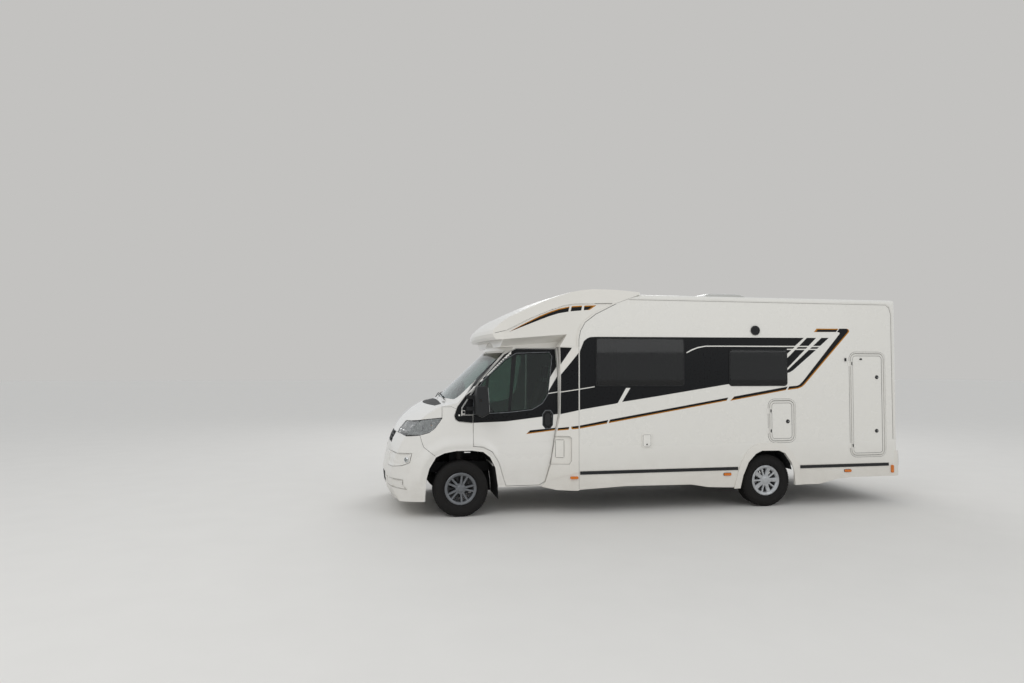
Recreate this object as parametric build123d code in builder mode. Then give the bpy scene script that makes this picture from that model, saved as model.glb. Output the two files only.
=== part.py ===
from build123d import *
import os

os.makedirs("parts", exist_ok=True)

# Motorhome on a front-wheel-drive van cab. The nose points to -X, the driver's side is -Y and
# +Z is up. Lengths along the vehicle are given as millimetres behind the front axle and are
# turned into x by at(). Heights are above the ground.

# Overall sizes
FRONT_OVERHANG = 930.0
WHEELBASE = 4035.0
REAR_FACE = 5990.0
REAR_BUMPER_REACH = 52.0
CARRIER_REACH = 440.0
BODY_HALF_WIDTH = 1150.0
CAB_HALF_WIDTH = 1025.0
ROOF_HEIGHT = 2757.0
FRONT_AXLE_X = (FRONT_OVERHANG - REAR_FACE - CARRIER_REACH) / 2

# Wheels and running gear
TYRE_RADIUS = 341.0
TYRE_WIDTH = 215.0
RIM_SEAT_RADIUS = 192.0
RIM_WIDTH = 165.0
FRONT_WHEEL_Y = 904.5
REAR_WHEEL_Y = 989.5
SPINDLE_RADIUS = 32.0
SIDEWALL_RADIUS = 262.0
DISC_FACE = 62.0
HUB_HALF = 40.0

# Panels, gaps and clearances
CAB_PANEL = 45.0
WALL_PANEL = 34.0
BUMPER_PANEL = 28.0
MOULDING_PANEL = 30.0
GLASS_THICKNESS = 6.0
GLASS_INSET = 4.0
SHUT_GAP = 6.0
SEAT_GAP = 0.3
BEARING_CLEARANCE = 0.05
BODY_FRONT = 1454.0
WALL_FOOT = 540.0
CORNER_RADIUS = 75.0
FLOOR_UNDERSIDE = 745.0
FLOOR_THICKNESS = 55.0
FAR = 1.5 * ROOF_HEIGHT


def at(behind):
    """x of a place given as millimetres behind the front axle."""
    return FRONT_AXLE_X + behind


def save(piece, name):
    piece.label = name
    export_step(piece, f"parts/{name}.step")


def side_slab(outline, y_low, y_high, grow=0.0, corner=0.0):
    """Solid between two y planes whose side view is the outline of (behind, height) points."""
    points = [(at(behind), height) for behind, height in outline]
    with BuildPart() as slab:
        with BuildSketch(Plane.XZ.offset(-y_high)):
            with BuildLine():
                if corner:
                    FilletPolyline(*points, radius=corner, close=True)
                else:
                    Polyline(*points, close=True)
            make_face()
            if grow:
                offset(amount=grow, kind=Kind.INTERSECTION)
        extrude(amount=y_high - y_low, dir=(0, -1, 0))
    return slab.part


def front_slab(outline, behind_low, behind_high, grow=0.0, corner=0.0):
    """Solid between two cross sections whose front view is the outline of (y, height) points."""
    with BuildPart() as slab:
        with BuildSketch(Plane.YZ.offset(at(behind_low))):
            with BuildLine():
                if corner:
                    FilletPolyline(*outline, radius=corner, close=True)
                else:
                    Polyline(*outline, close=True)
            make_face()
            if grow:
                offset(amount=grow, kind=Kind.INTERSECTION)
        extrude(amount=behind_high - behind_low, dir=(1, 0, 0))
    return slab.part


def plan_slab(outline, z_low, z_high, corner=0.0):
    """Upright solid between two heights whose plan is the outline of (behind, y) points."""
    points = [(at(behind), y) for behind, y in outline]
    with BuildPart() as slab:
        with BuildSketch(Plane.XY.offset(z_low)):
            with BuildLine():
                if corner:
                    FilletPolyline(*points, radius=corner, close=True)
                else:
                    Polyline(*points, close=True)
            make_face()
        extrude(amount=z_high - z_low, dir=(0, 0, 1))
    return slab.part


CHORDS = 4


def chords(arcs):
    """Points along a row of side-view arcs: short straight runs keep the swept faces plain cones."""
    points = []
    for arc in arcs:
        ends = [(at(behind), height) for behind, height in arc]
        curve = ThreePointArc(*ends, mode=Mode.PRIVATE)
        points += [curve @ (step / CHORDS) for step in range(CHORDS)]
    return points + [curve @ 1]


def block(behind, y, height):
    """Straight block between pairs of limits behind the front axle, across and up."""
    corners = [(behind[0], y[0]), (behind[1], y[0]), (behind[1], y[1]), (behind[0], y[1])]
    return plan_slab(corners, *height)


def mirrored(piece):
    """The same piece on the other side of the vehicle."""
    return mirror(piece, about=Plane.XZ, mode=Mode.PRIVATE)


def rod(start, end, radius):
    """Round bar from one (behind, y, height) point to another."""
    first = Vector(at(start[0]), start[1], start[2])
    way = Vector(at(end[0]), end[1], end[2]) - first
    with BuildPart() as bar:
        with BuildSketch(Plane(origin=first, z_dir=way)):
            Circle(radius)
        extrude(amount=way.length)
    return bar.part


# The cab's outer form is its centre profile swept round an upright axis, held inside a plan
# outline with rounded corners and a front view that leans in above the waist.
CAB_SWEEP_CENTRE = 2800.0
CAB_NOSE_ARCS = (
    ((-848, 205), (-913, 345), (-FRONT_OVERHANG, 521)),
    ((-FRONT_OVERHANG, 521), (-895, 715), (-835, 925)),
    ((-835, 925), (-692, 1150), (-440, 1340)),
)
CAB_TOP_PROFILE = ((-225, 1392), (455, 2040), (500, 2165), (1700, 2165), (1700, 205))
CAB_NOSE_HALF = (-1500, 330)
CAB_CORNER = ((-905, 640), (-800, 850), (-350, CAB_HALF_WIDTH))
CAB_REAR = 1240.0
WAIST_HEIGHT = 1150.0
CANT_HALF_WIDTH = 925.0
CANT_HEIGHT = 2075.0
CAB_TOP = 2165.0
CAB_TOP_HALF = 890.0


def cab_form(inset):
    """Solid of the whole cab, shrunk on every side by the inset."""
    nose = (at(CAB_NOSE_HALF[0]), CAB_NOSE_HALF[1])
    corner = [(at(behind), y) for behind, y in CAB_CORNER]
    foot = (CAB_HALF_WIDTH, 0)
    waist = (CAB_HALF_WIDTH, WAIST_HEIGHT)
    cant = (CANT_HALF_WIDTH, CANT_HEIGHT)
    with BuildPart() as form:
        with BuildSketch(Plane.XZ):
            with BuildLine():
                Polyline(*chords(CAB_NOSE_ARCS),
                         *[(at(behind), height) for behind, height in CAB_TOP_PROFILE], close=True)
            make_face()
            if inset:
                offset(amount=-inset, kind=Kind.INTERSECTION)
        revolve(axis=Axis((at(CAB_SWEEP_CENTRE), 0, 0), (0, 0, 1)))
        with BuildSketch(Plane.XY):
            with BuildLine():
                Line(nose, corner[0])
                ThreePointArc(*corner)
                Polyline(corner[2], (at(CAB_REAR), CAB_HALF_WIDTH), (at(CAB_REAR), 0),
                         (nose[0], 0), nose)
            make_face()
            mirror(about=Plane.XZ)
            if inset:
                offset(amount=-inset, kind=Kind.INTERSECTION)
        extrude(amount=FAR, dir=(0, 0, 1), mode=Mode.INTERSECT)
        with BuildSketch(Plane.YZ.offset(-2 * FAR)):
            with BuildLine():
                Line(foot, waist)
                TangentArc(waist, cant, tangent=(0, 1))
                Polyline(cant, (CAB_TOP_HALF, CAB_TOP), (0, CAB_TOP), (0, 0), foot)
            make_face()
            mirror(about=Plane.YZ)
            if inset:
                offset(amount=-inset, kind=Kind.INTERSECTION)
        extrude(amount=4 * FAR, dir=(1, 0, 0), mode=Mode.INTERSECT)
    return form.part


LAMP_DEPTH = 70.0
POCKET_DEPTH = 18.0
GLASS_INNER = GLASS_INSET + GLASS_THICKNESS
cab_forms = {inset: cab_form(inset) for inset in
             (0, GLASS_INSET, GLASS_INNER, POCKET_DEPTH, BUMPER_PANEL, CAB_PANEL, LAMP_DEPTH)}
cab_skin = cab_forms[0] - cab_forms[CAB_PANEL]
glass_skin = cab_forms[GLASS_INSET] - cab_forms[GLASS_INNER]
hollow_through_rear = Pos(X=2 * CAB_PANEL) * cab_forms[CAB_PANEL]

# Side outlines of the cab
DOOR = (
    (150, 1245), (10, 1245), (10, 1330), (240, 1665), (560, 1995), (700, 2062), (1205, 2062),
    (1222, 1700), (1218, 1238), (1170, 981), (1118, 640), (1046, 410), (975, 368), (560, 368),
    (520, 480), (466, 656), (384, 790), (264, 850), (150, 860),
)
DOOR_GAP = 6.5
PILLAR_RELIEF = ((1100, 1238), (1225.5, 1238), (1230.5, 1700), (1216.5, 2068), (1100, 2068))
DOOR_WINDOW = (
    (160, 1262), (160, 1480), (290, 1665), (560, 1915), (700, 1992), (1116, 2008), (1146, 1964),
    (1080, 1490), (1010, 1385), (880, 1312), (600, 1283),
)
FRONT_ARCH = (
    (-440, 100), (-422, 463), (-386, 600), (-304, 736), (-200, 784), (-53, 808), (131, 808),
    (273, 788), (359, 721), (424, 592), (458, 367), (470, 100),
)
HEADLAMP = (
    (-790, 1015), (-735, 1085), (-640, 1148), (-480, 1188), (-232, 1210), (-262, 1160),
    (-318, 1085), (-392, 1030), (-520, 998), (-660, 990),
)
BUMPER_TOP = 1000.0
BONNET_FOOT = 1004.0
BONNET = (
    (-1000, BONNET_FOOT), (-660, BONNET_FOOT), (-400, 1100), (-232, 1205), (-232, 1600), (-1000, 1600),
)
BONNET_REAR_RADIUS = 3206.0
BUMPER = (
    (-1000, 150), (-1000, BUMPER_TOP), (-497, BUMPER_TOP), (-457, 861), (-310, 747), (-300, 700),
    (-370, 600), (-400, 463), (-410, 150),
)
COWL = ((-460, 1270), (-226, 1270), (-226, 1425), (-460, 1425))
WING = (
    (-1000, 100), (150, 100), (150, 1245), (10, 1245), (10, 1285), (-120, 1345), (-235, 1345),
    (-235, 1600), (-1000, 1600),
)
FOG_POCKET = ((-900, 600), (-700, 632), (-616, 672), (-590, 790), (-900, 781))
LOWER_POCKET = ((-900, 376), (-872, 372), (-646, 346), (-694, 404), (-696, 466), (-900, 478))
POCKET_INNER_Y = 560.0
WINDSCREEN = ((-880, 1427), (880, 1427), (800, 2012), (-800, 2012))
HEADLAMP_INNER_Y = 520.0
DOOR_INNER_Y = 850.0
COWL_HALF = 790.0
WINDSCREEN_CORNER = 60.0
GRILLE_HALF = 430.0
GRILLE_FOOT = 868.0
LOWER_INTAKE = ((-470, 372), (470, 372), (430, 500), (-430, 500))
INTAKE_CORNER = 25.0
BUMPER_FOOT = 206.0

door_zone = side_slab(DOOR, -FAR, -DOOR_INNER_Y - DOOR_GAP)
door_hole = side_slab(DOOR, -FAR, -DOOR_INNER_Y, grow=DOOR_GAP)
pillar_relief = side_slab(PILLAR_RELIEF, -FAR, -DOOR_INNER_Y)
window_cut = side_slab(DOOR_WINDOW, -FAR, -DOOR_INNER_Y)
window_fill = side_slab(DOOR_WINDOW, -FAR, -DOOR_INNER_Y, grow=-SEAT_GAP)
lamp_zone = side_slab(HEADLAMP, -FAR, -HEADLAMP_INNER_Y)
lamp_hole = side_slab(HEADLAMP, -FAR, SHUT_GAP - HEADLAMP_INNER_Y, grow=SHUT_GAP)
lamp_seat = side_slab(HEADLAMP, -FAR, SEAT_GAP - HEADLAMP_INNER_Y, grow=SEAT_GAP)


def bonnet_region(gap):
    """Everything from the nose to the bonnet's swept rear edge, grown by the gap."""
    with BuildPart() as region:
        add(side_slab(BONNET, -FAR, FAR, grow=gap))
        with BuildSketch(Plane.XY):
            with Locations((at(CAB_SWEEP_CENTRE), 0)):
                Circle(BONNET_REAR_RADIUS - gap)
        extrude(amount=FAR, dir=(0, 0, 1), mode=Mode.SUBTRACT)
    return region.part


bonnet_zone = bonnet_region(0)
bonnet_hole = bonnet_region(SHUT_GAP)
wing_zone = side_slab(WING, -FAR, FAR)
wing_hole = side_slab(WING, -FAR, FAR, grow=SEAT_GAP)
bumper_zone = side_slab(BUMPER, -FAR, FAR)
bumper_hole = side_slab(BUMPER, -FAR, FAR, grow=SEAT_GAP)
cowl_zone = side_slab(COWL, -COWL_HALF, COWL_HALF)
screen_cut = front_slab(WINDSCREEN, -FAR, 800, corner=WINDSCREEN_CORNER)
screen_fill = front_slab(WINDSCREEN, -FAR, 800, grow=-SEAT_GAP, corner=WINDSCREEN_CORNER)
arch_cut = side_slab(FRONT_ARCH, -FAR, FAR)

# Cab shell: the van cab's pillar frame, welded of seven pressings, its roof skin, its floor with the
# bulkhead and its two wings, which are bolted on ahead of the doors and carry the door hinges' pins.
SILL_FOOT = 352.0
CAB_FLOOR = (610.0, 640.0)
CAB_INNER_HALF = CAB_HALF_WIDTH - CAB_PANEL
BULKHEAD = ((440, CAB_FLOOR[0]), (440, 822), (-150, 1000), (-150, 1300), (-190, 1300),
            (-190, 970), (395, 790), (395, CAB_FLOOR[0]))
ROOF_SEAM = 2072.0
SILL_WIDTH = 50.0
FLOOR_HALF = CAB_INNER_HALF - SILL_WIDTH
REAR_OPENING = ((CAB_REAR - CAB_PANEL - 5, CAB_REAR + 5), (-880, 880), (0, 2115))
DOOR_REBATE = 6.0
door_rebate = side_slab(DOOR, -FAR, DOOR_REBATE - CAB_INNER_HALF, grow=DOOR_GAP)
with BuildPart() as open_skin:
    add(cab_skin)
    add(block((-1200, FAR), (-FAR, FAR), (0, SILL_FOOT)), mode=Mode.SUBTRACT)
    for hole in (bumper_hole, bonnet_hole, arch_cut, cowl_zone, screen_cut):
        add(hole, mode=Mode.SUBTRACT)
    for hole in (lamp_seat, door_hole, pillar_relief):
        add(hole, mode=Mode.SUBTRACT)
        add(mirrored(hole), mode=Mode.SUBTRACT)
    add(block(*REAR_OPENING), mode=Mode.SUBTRACT)
# behind low, behind high, y low, y high
FRAME_PRESSINGS = (
    (-1200, 690, -1200, -780), (-1200, 690, -780, -400), (-1200, 690, -400, 400),
    (-1200, 690, 400, 780), (-1200, 690, 780, 1200), (690, 1300, -1200, 0), (690, 1300, 0, 1200),
)
with BuildPart() as pillar_frame:
    add(open_skin.part)
    add(wing_hole, mode=Mode.SUBTRACT)
    add(block((-1200, FAR), (-FAR, FAR), (ROOF_SEAM, FAR)), mode=Mode.SUBTRACT)
    for low, high in ((-CAB_INNER_HALF, -FLOOR_HALF), (FLOOR_HALF, CAB_INNER_HALF)):
        add(block((490, CAB_REAR), (low, high), (SILL_FOOT, CAB_FLOOR[1])))
    add(door_rebate, mode=Mode.SUBTRACT)
    add(mirrored(door_rebate), mode=Mode.SUBTRACT)
with BuildPart() as cab_roof:
    add(open_skin.part)
    add(block((-1200, FAR), (-FAR, FAR), (0, ROOF_SEAM)), mode=Mode.SUBTRACT)
DOOR_HINGE = (4.0, -1030.0)
DOOR_BARREL = (1250.0, 1300.0)
BARREL_RADIUS = 5.5
DOOR_PIN_RADIUS = 3.0
LUG_FOOT = 1232.0
LUG_PLATE = 40.0
PLATE_Y = (-1028.5, -1018.0)
with BuildPart() as wing_lug:
    add(rod((*DOOR_HINGE, LUG_FOOT), (*DOOR_HINGE, DOOR_BARREL[0] - SEAT_GAP), BARREL_RADIUS))
    add(rod((*DOOR_HINGE, LUG_FOOT), (*DOOR_HINGE, DOOR_BARREL[1] - 1), DOOR_PIN_RADIUS))
    add(block((DOOR_HINGE[0] - LUG_PLATE, DOOR_HINGE[0]), PLATE_Y, (LUG_FOOT, DOOR_BARREL[0] - SEAT_GAP)))
with BuildPart() as door_barrel:
    add(rod((*DOOR_HINGE, DOOR_BARREL[0]), (*DOOR_HINGE, DOOR_BARREL[1]), BARREL_RADIUS))
    add(block((DOOR_HINGE[0], DOOR_HINGE[0] + LUG_PLATE), PLATE_Y, DOOR_BARREL))
    add(rod((*DOOR_HINGE, DOOR_BARREL[0] - 1), (*DOOR_HINGE, DOOR_BARREL[1] + 1),
            DOOR_PIN_RADIUS + BEARING_CLEARANCE), mode=Mode.SUBTRACT)
with BuildPart() as wings:
    add(open_skin.part)
    add(wing_zone, mode=Mode.INTERSECT)
    add(wing_lug.part)
    add(mirrored(wing_lug.part))
with BuildPart() as cab_floor:
    add(block((440, CAB_REAR), (-FLOOR_HALF, FLOOR_HALF), CAB_FLOOR))
with BuildPart() as bulkhead:
    add(side_slab(BULKHEAD, -CAB_INNER_HALF, CAB_INNER_HALF))
    for piece in (open_skin.part, door_rebate, mirrored(door_rebate)):
        add(piece, mode=Mode.SUBTRACT)
shell_solids = []
for front, rear, low, high in FRAME_PRESSINGS:
    with BuildPart() as pressing:
        add(pillar_frame.part)
        add(block((front, rear), (low, high), (0, FAR)), mode=Mode.INTERSECT)
    shell_solids += pressing.part.solids()
for piece in (cab_roof, wings, cab_floor, bulkhead):
    shell_solids += piece.part.solids()
save(Compound(children=shell_solids), "cab_shell")

# Bonnet: pressed steel lid over the engine, hinged at its rear corners.
with BuildPart() as bonnet:
    add(cab_skin)
    add(bonnet_zone, mode=Mode.INTERSECT)
    add(lamp_hole, mode=Mode.SUBTRACT)
    add(mirrored(lamp_hole), mode=Mode.SUBTRACT)
save(bonnet.part, "bonnet")

# Front bumper: one plastic moulding round the nose, open at the grille and the lower intake, with
# two blind pockets at each corner and the two buffers the bonnet rests on.
BUFFER_Y = (450.0, 485.0)
BUFFER_BEHIND = (-765.0, -747.0)
with BuildPart() as front_bumper:
    add(cab_forms[0])
    add(cab_forms[BUMPER_PANEL], mode=Mode.SUBTRACT)
    add(bumper_zone, mode=Mode.INTERSECT)
    add(arch_cut, mode=Mode.SUBTRACT)
    add(block((-1200, -350), (-FAR, FAR), (0, BUMPER_FOOT)), mode=Mode.SUBTRACT)
    add(block((-1200, -500), (-GRILLE_HALF, GRILLE_HALF), (GRILLE_FOOT, BUMPER_TOP + 10)),
        mode=Mode.SUBTRACT)
    add(front_slab(LOWER_INTAKE, -1200, -500, corner=INTAKE_CORNER), mode=Mode.SUBTRACT)
    add(lamp_seat, mode=Mode.SUBTRACT)
    add(mirrored(lamp_seat), mode=Mode.SUBTRACT)
    for outline in (FOG_POCKET, LOWER_POCKET):
        with BuildPart(mode=Mode.PRIVATE) as pocket:
            add(side_slab(outline, -FAR, -POCKET_INNER_Y))
            add(cab_forms[POCKET_DEPTH], mode=Mode.SUBTRACT)
        add(pocket.part, mode=Mode.SUBTRACT)
        add(mirrored(pocket.part), mode=Mode.SUBTRACT)
    for side in (-1, 1):
        low, high = sorted((side * BUFFER_Y[0], side * BUFFER_Y[1]))
        add(block(BUFFER_BEHIND, (low, high), (BUMPER_TOP - 2, BONNET_FOOT - SEAT_GAP)))
save(front_bumper.part, "front_bumper")

# Radiator grille: black plastic slats in the two openings of the bumper.
SLAT = 14.0
SLOT_HEIGHT = 26.0
UPPER_SLOTS = 3
LOWER_SLOTS = 3
with BuildPart() as radiator_grille:
    add(cab_forms[GLASS_INSET])
    add(cab_forms[CAB_PANEL], mode=Mode.SUBTRACT)
    add(block((-1200, -500), (SEAT_GAP - GRILLE_HALF, GRILLE_HALF - SEAT_GAP),
              (GRILLE_FOOT + SEAT_GAP, BUMPER_TOP - SEAT_GAP)), mode=Mode.INTERSECT)
    for row in range(UPPER_SLOTS):
        foot = GRILLE_FOOT + SLAT + row * (SLAT + SLOT_HEIGHT)
        add(block((-1200, -500), (25 - GRILLE_HALF, GRILLE_HALF - 25), (foot, foot + SLOT_HEIGHT)),
            mode=Mode.SUBTRACT)
with BuildPart() as lower_grille:
    add(cab_forms[GLASS_INSET])
    add(cab_forms[CAB_PANEL], mode=Mode.SUBTRACT)
    add(front_slab(LOWER_INTAKE, -1200, -500, grow=-SEAT_GAP, corner=INTAKE_CORNER),
        mode=Mode.INTERSECT)
    for row in range(LOWER_SLOTS):
        foot = LOWER_INTAKE[0][1] + SLAT + row * (SLAT + SLOT_HEIGHT)
        add(block((-1200, -500), (-395, 395), (foot, foot + SLOT_HEIGHT)), mode=Mode.SUBTRACT)
save(Compound(children=[radiator_grille.part, lower_grille.part]), "radiator_grille")

# Headlamps: clear polycarbonate lenses over dark housings, one at each corner of the nose.
with BuildPart() as headlamp:
    add(cab_forms[0])
    add(cab_forms[LAMP_DEPTH], mode=Mode.SUBTRACT)
    add(lamp_zone, mode=Mode.INTERSECT)
save(Compound(children=[headlamp.part, mirrored(headlamp.part)]), "headlamps")

# Windscreen: laminated glass bonded into the cab shell.
with BuildPart() as windscreen:
    add(glass_skin)
    add(screen_fill, mode=Mode.INTERSECT)
    add(block((-1000, 800), (-FAR, FAR), (0, 1427)), mode=Mode.SUBTRACT)
    add(bonnet_hole, mode=Mode.SUBTRACT)
save(windscreen.part, "windscreen")

# Cowl panel: black plastic scuttle between bonnet and windscreen.
with BuildPart() as cowl_panel:
    add(cab_forms[GLASS_INSET])
    add(cab_forms[BUMPER_PANEL], mode=Mode.SUBTRACT)
    add(side_slab(COWL, SEAT_GAP - COWL_HALF, COWL_HALF - SEAT_GAP, grow=-SEAT_GAP),
        mode=Mode.INTERSECT)
    add(bonnet_hole, mode=Mode.SUBTRACT)
save(cowl_panel.part, "cowl_panel")

# Cab doors: pressed steel leaf with a cup for the handle, side glass and a tall mirror on each.
MIRROR = ((150, 1260), (225, 1222), (312, 1270), (312, 1330), (290, 1600), (165, 1600), (150, 1500))
MIRROR_Y = (-1275.0, -1075.0)
HANDLE_CUP = ((1028, 1110), (1060, 1070), (1112, 1070), (1142, 1110), (1146, 1240), (1116, 1280),
              (1062, 1280), (1030, 1240))
with BuildPart() as cab_door:
    add(cab_skin)
    add(hollow_through_rear, mode=Mode.SUBTRACT)
    add(door_zone, mode=Mode.INTERSECT)
    add(window_cut, mode=Mode.SUBTRACT)
    with BuildPart(mode=Mode.PRIVATE) as handle_cup:
        add(side_slab(HANDLE_CUP, -FAR, -DOOR_INNER_Y, corner=12))
        add(cab_forms[POCKET_DEPTH], mode=Mode.SUBTRACT)
    add(handle_cup.part, mode=Mode.SUBTRACT)
    add(door_barrel.part)
with BuildPart() as cab_door_glass:
    add(glass_skin)
    add(window_fill, mode=Mode.INTERSECT)
with BuildPart() as mirror_head:
    add(side_slab(MIRROR, *MIRROR_Y, corner=24))
    fillet(mirror_head.faces().sort_by(Axis.Y)[0].edges(), radius=22)
    for height in (1300, 1440):
        add(side_slab(((60, height), (230, height), (230, height + 45), (60, height + 45)),
                      MIRROR_Y[1] - 10, -CAB_HALF_WIDTH + 2))
    add(cab_forms[0], mode=Mode.SUBTRACT)
for side, name in ((-1, "left"), (1, "right")):
    for piece, kind in ((cab_door, "cab_door"), (cab_door_glass, "cab_door_glass"),
                        (mirror_head, "mirror")):
        shape = piece.part if side < 0 else mirrored(piece.part)
        save(shape, f"{name}_{kind}")

# Overcab moulding: the GRP cap over the cab, with a blunt nose, a sloping crown that rises above
# the roof and an underside that slopes in to the door tops, and the two flank panels bonded to it,
# which are set back below a shoulder line.
OVERCAB_SWEEP_CENTRE = 9000.0
OVERCAB_FOOT = 2083.0
OVERCAB_RISE = (ROOF_HEIGHT - OVERCAB_FOOT) / 674.0


def crown(height):
    """Height on the moulding, which stretches upwards with the roof."""
    return OVERCAB_FOOT + (height - OVERCAB_FOOT) * OVERCAB_RISE


OVERCAB_REAR = 2265.0
OVERCAB_NOSE_FOOT = crown(2170)
OVERCAB_ARCS = [[(behind, crown(height)) for behind, height in arc] for arc in (
    ((345, 2170), (309, 2230), (336, 2318)), ((336, 2318), (440, 2412), (600, 2497)),
    ((600, 2497), (860, 2620), (1150, 2730)), ((1150, 2730), (1400, 2795), (1700, 2812)),
    ((1700, 2812), (1985, 2801), (OVERCAB_REAR, 2771)),
)]
OVERCAB_EDGE = (
    (OVERCAB_REAR, ROOF_HEIGHT), (1952, crown(2640)), (1680, crown(2500)), (1540, crown(2395)),
    (1478, crown(2285)), (BODY_FRONT, crown(2180)), (BODY_FRONT, OVERCAB_FOOT),
)
NECK_FRONT = 500.0
OVERCAB_NOSE_RADIUS = 330.0
RECESS_RISE = 0.085
RECESS_EDGE = 2150.0
RECESS_FOOT = 2064.0
RECESS_SIDE = ((100, 1900), (1103, 1900), (1210, OVERCAB_FOOT), (1313, 2258), (1340, 2330), (100, 2330))


def overcab_form(inset):
    """Solid of the overcab moulding, shrunk on every side by the inset."""
    wide = BODY_HALF_WIDTH - inset
    front = 250.0 + inset
    with BuildPart() as form:
        with BuildSketch(Plane.XZ):
            with BuildLine():
                Polyline(*chords(OVERCAB_ARCS), (at(OVERCAB_REAR), OVERCAB_FOOT),
                         (at(345), OVERCAB_FOOT), close=True)
            make_face()
            if inset:
                offset(amount=-inset, kind=Kind.INTERSECTION)
        revolve(axis=Axis((at(OVERCAB_SWEEP_CENTRE), 0, 0), (0, 0, 1)))
        with BuildSketch(Plane.XY):
            with BuildLine():
                FilletPolyline((at(front), -wide), (at(2900), -wide), (at(2900), wide),
                               (at(front), wide), radius=OVERCAB_NOSE_RADIUS, close=True)
            make_face()
        extrude(amount=FAR, dir=(0, 0, 1), mode=Mode.INTERSECT)
    return form.part


def nose_recess(thick):
    """What is cut away under the moulding's left side, grown by the moulding's thickness."""
    inner = thick - CANT_HALF_WIDTH
    with BuildPart() as recess:
        with BuildSketch(Plane.YZ.offset(at(200))):
            with BuildLine():
                Polyline((inner, 1900), (-FAR / 2, 1900), (-FAR / 2, RECESS_EDGE + thick + 20),
                         (-BODY_HALF_WIDTH, RECESS_EDGE + thick), (inner, RECESS_FOOT + thick),
                         close=True)
            make_face()
        extrude(amount=1500, dir=(1, 0, RECESS_RISE))
        add(side_slab(RECESS_SIDE, -FAR, 0, grow=thick), mode=Mode.INTERSECT)
    return recess.part


def overcab_solid(thick):
    """The moulding's outside at no thickness, or the hollow inside it."""
    nose_foot = OVERCAB_NOSE_FOOT + thick
    with BuildPart() as solid:
        add(overcab_form(thick))
        add(block((0, NECK_FRONT + thick), (-FAR, FAR), (2000, nose_foot)), mode=Mode.SUBTRACT)
        add(nose_recess(thick), mode=Mode.SUBTRACT)
        add(mirrored(nose_recess(thick)), mode=Mode.SUBTRACT)
    return solid.part


FLANK_DEPTH = 9.0
FLANK_JOINT = BODY_HALF_WIDTH - MOULDING_PANEL - 2
FLANK = [(behind, crown(height)) for behind, height in (
    (400, 1900), (400, 2250), (528, 2277), (643, 2335), (845, 2437), (1078, 2533), (1255, 2594),
    (1403, 2621), (1895, 2634), (1645, 2505), (1500, 2395), (1440, 2285), (1425, 2180), (1425, 1900),
)]
flank_pocket = side_slab(FLANK, -FAR, FLANK_DEPTH - BODY_HALF_WIDTH)
with BuildPart() as overcab_moulding:
    add(overcab_solid(0))
    add(overcab_solid(MOULDING_PANEL), mode=Mode.SUBTRACT)
    add(flank_pocket, mode=Mode.SUBTRACT)
    add(mirrored(flank_pocket), mode=Mode.SUBTRACT)
    add(side_slab(OVERCAB_EDGE[::-1] + ((OVERCAB_REAR, 2 * FAR), (0, 2 * FAR), (0, OVERCAB_FOOT)),
                  -FAR, FAR), mode=Mode.INTERSECT)
    add(block((CAB_REAR, 2300), (MOULDING_PANEL - BODY_HALF_WIDTH, BODY_HALF_WIDTH - MOULDING_PANEL),
              (2000, OVERCAB_FOOT + MOULDING_PANEL + 1)), mode=Mode.SUBTRACT)
    add(cab_form(-SEAT_GAP), mode=Mode.SUBTRACT)
# The cap between the flanks is kept in touching stretches, each close to convex, so that the store
# inside it stays open in collision. Columns: front, rear, and both limits across.
OVERCAB_STRETCHES = (
    (0, FAR, -FAR, -FLANK_JOINT),
    (0, 600, -FLANK_JOINT, FLANK_JOINT),
    (600, 900, -FLANK_JOINT, FLANK_JOINT),
    (900, 1200, -FLANK_JOINT, FLANK_JOINT),
    (1200, FAR, -FLANK_JOINT, FLANK_JOINT),
    (0, FAR, FLANK_JOINT, FAR),
)
overcab_solids = []
for front, rear, low, high in OVERCAB_STRETCHES:
    with BuildPart() as stretch:
        add(overcab_moulding.part)
        add(block((front, rear), (low, high), (0, FAR)), mode=Mode.INTERSECT)
    overcab_solids += stretch.part.solids()
save(Compound(children=overcab_solids), "overcab_moulding")

# Side walls: sandwich panels with windows, hatches and doors cut through them, their front top
# corner following the overcab moulding.
REAR_WALL_FRONT = REAR_FACE - CORNER_RADIUS
ROOF_FOOT = ROOF_HEIGHT - 67.0
(EDGE_END, EDGE_HIGH), (EDGE_NEXT, EDGE_LOW) = OVERCAB_EDGE[:2]
EDGE_AT_ROOF_FOOT = EDGE_NEXT + (EDGE_END - EDGE_NEXT) * (ROOF_FOOT - EDGE_LOW) / (EDGE_HIGH - EDGE_LOW)
WALL_OUTLINE = (
    (BODY_FRONT, WALL_FOOT), (REAR_WALL_FRONT, WALL_FOOT), (REAR_WALL_FRONT, ROOF_FOOT),
    (EDGE_AT_ROOF_FOOT, ROOF_FOOT),
) + OVERCAB_EDGE[1:]
# ahead of or behind the rear axle, height
REAR_ARCH = tuple((WHEELBASE + ahead, height) for ahead, height in (
    (-408, 200), (-408, 273), (-370, 423), (-289, 599), (-185, 705), (-97, 743), (153, 740),
    (241, 700), (329, 578), (368, 443), (381, 288), (381, 200),
))
REAR_ARCH_TRIM = tuple((WHEELBASE + ahead, height) for ahead, height in (
    (-495, 262), (-457, 399), (-405, 569), (-331, 700), (-243, 790), (-140, 838), (110, 842),
    (198, 828), (287, 773), (360, 677), (435, 560), (485, 285),
))
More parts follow.
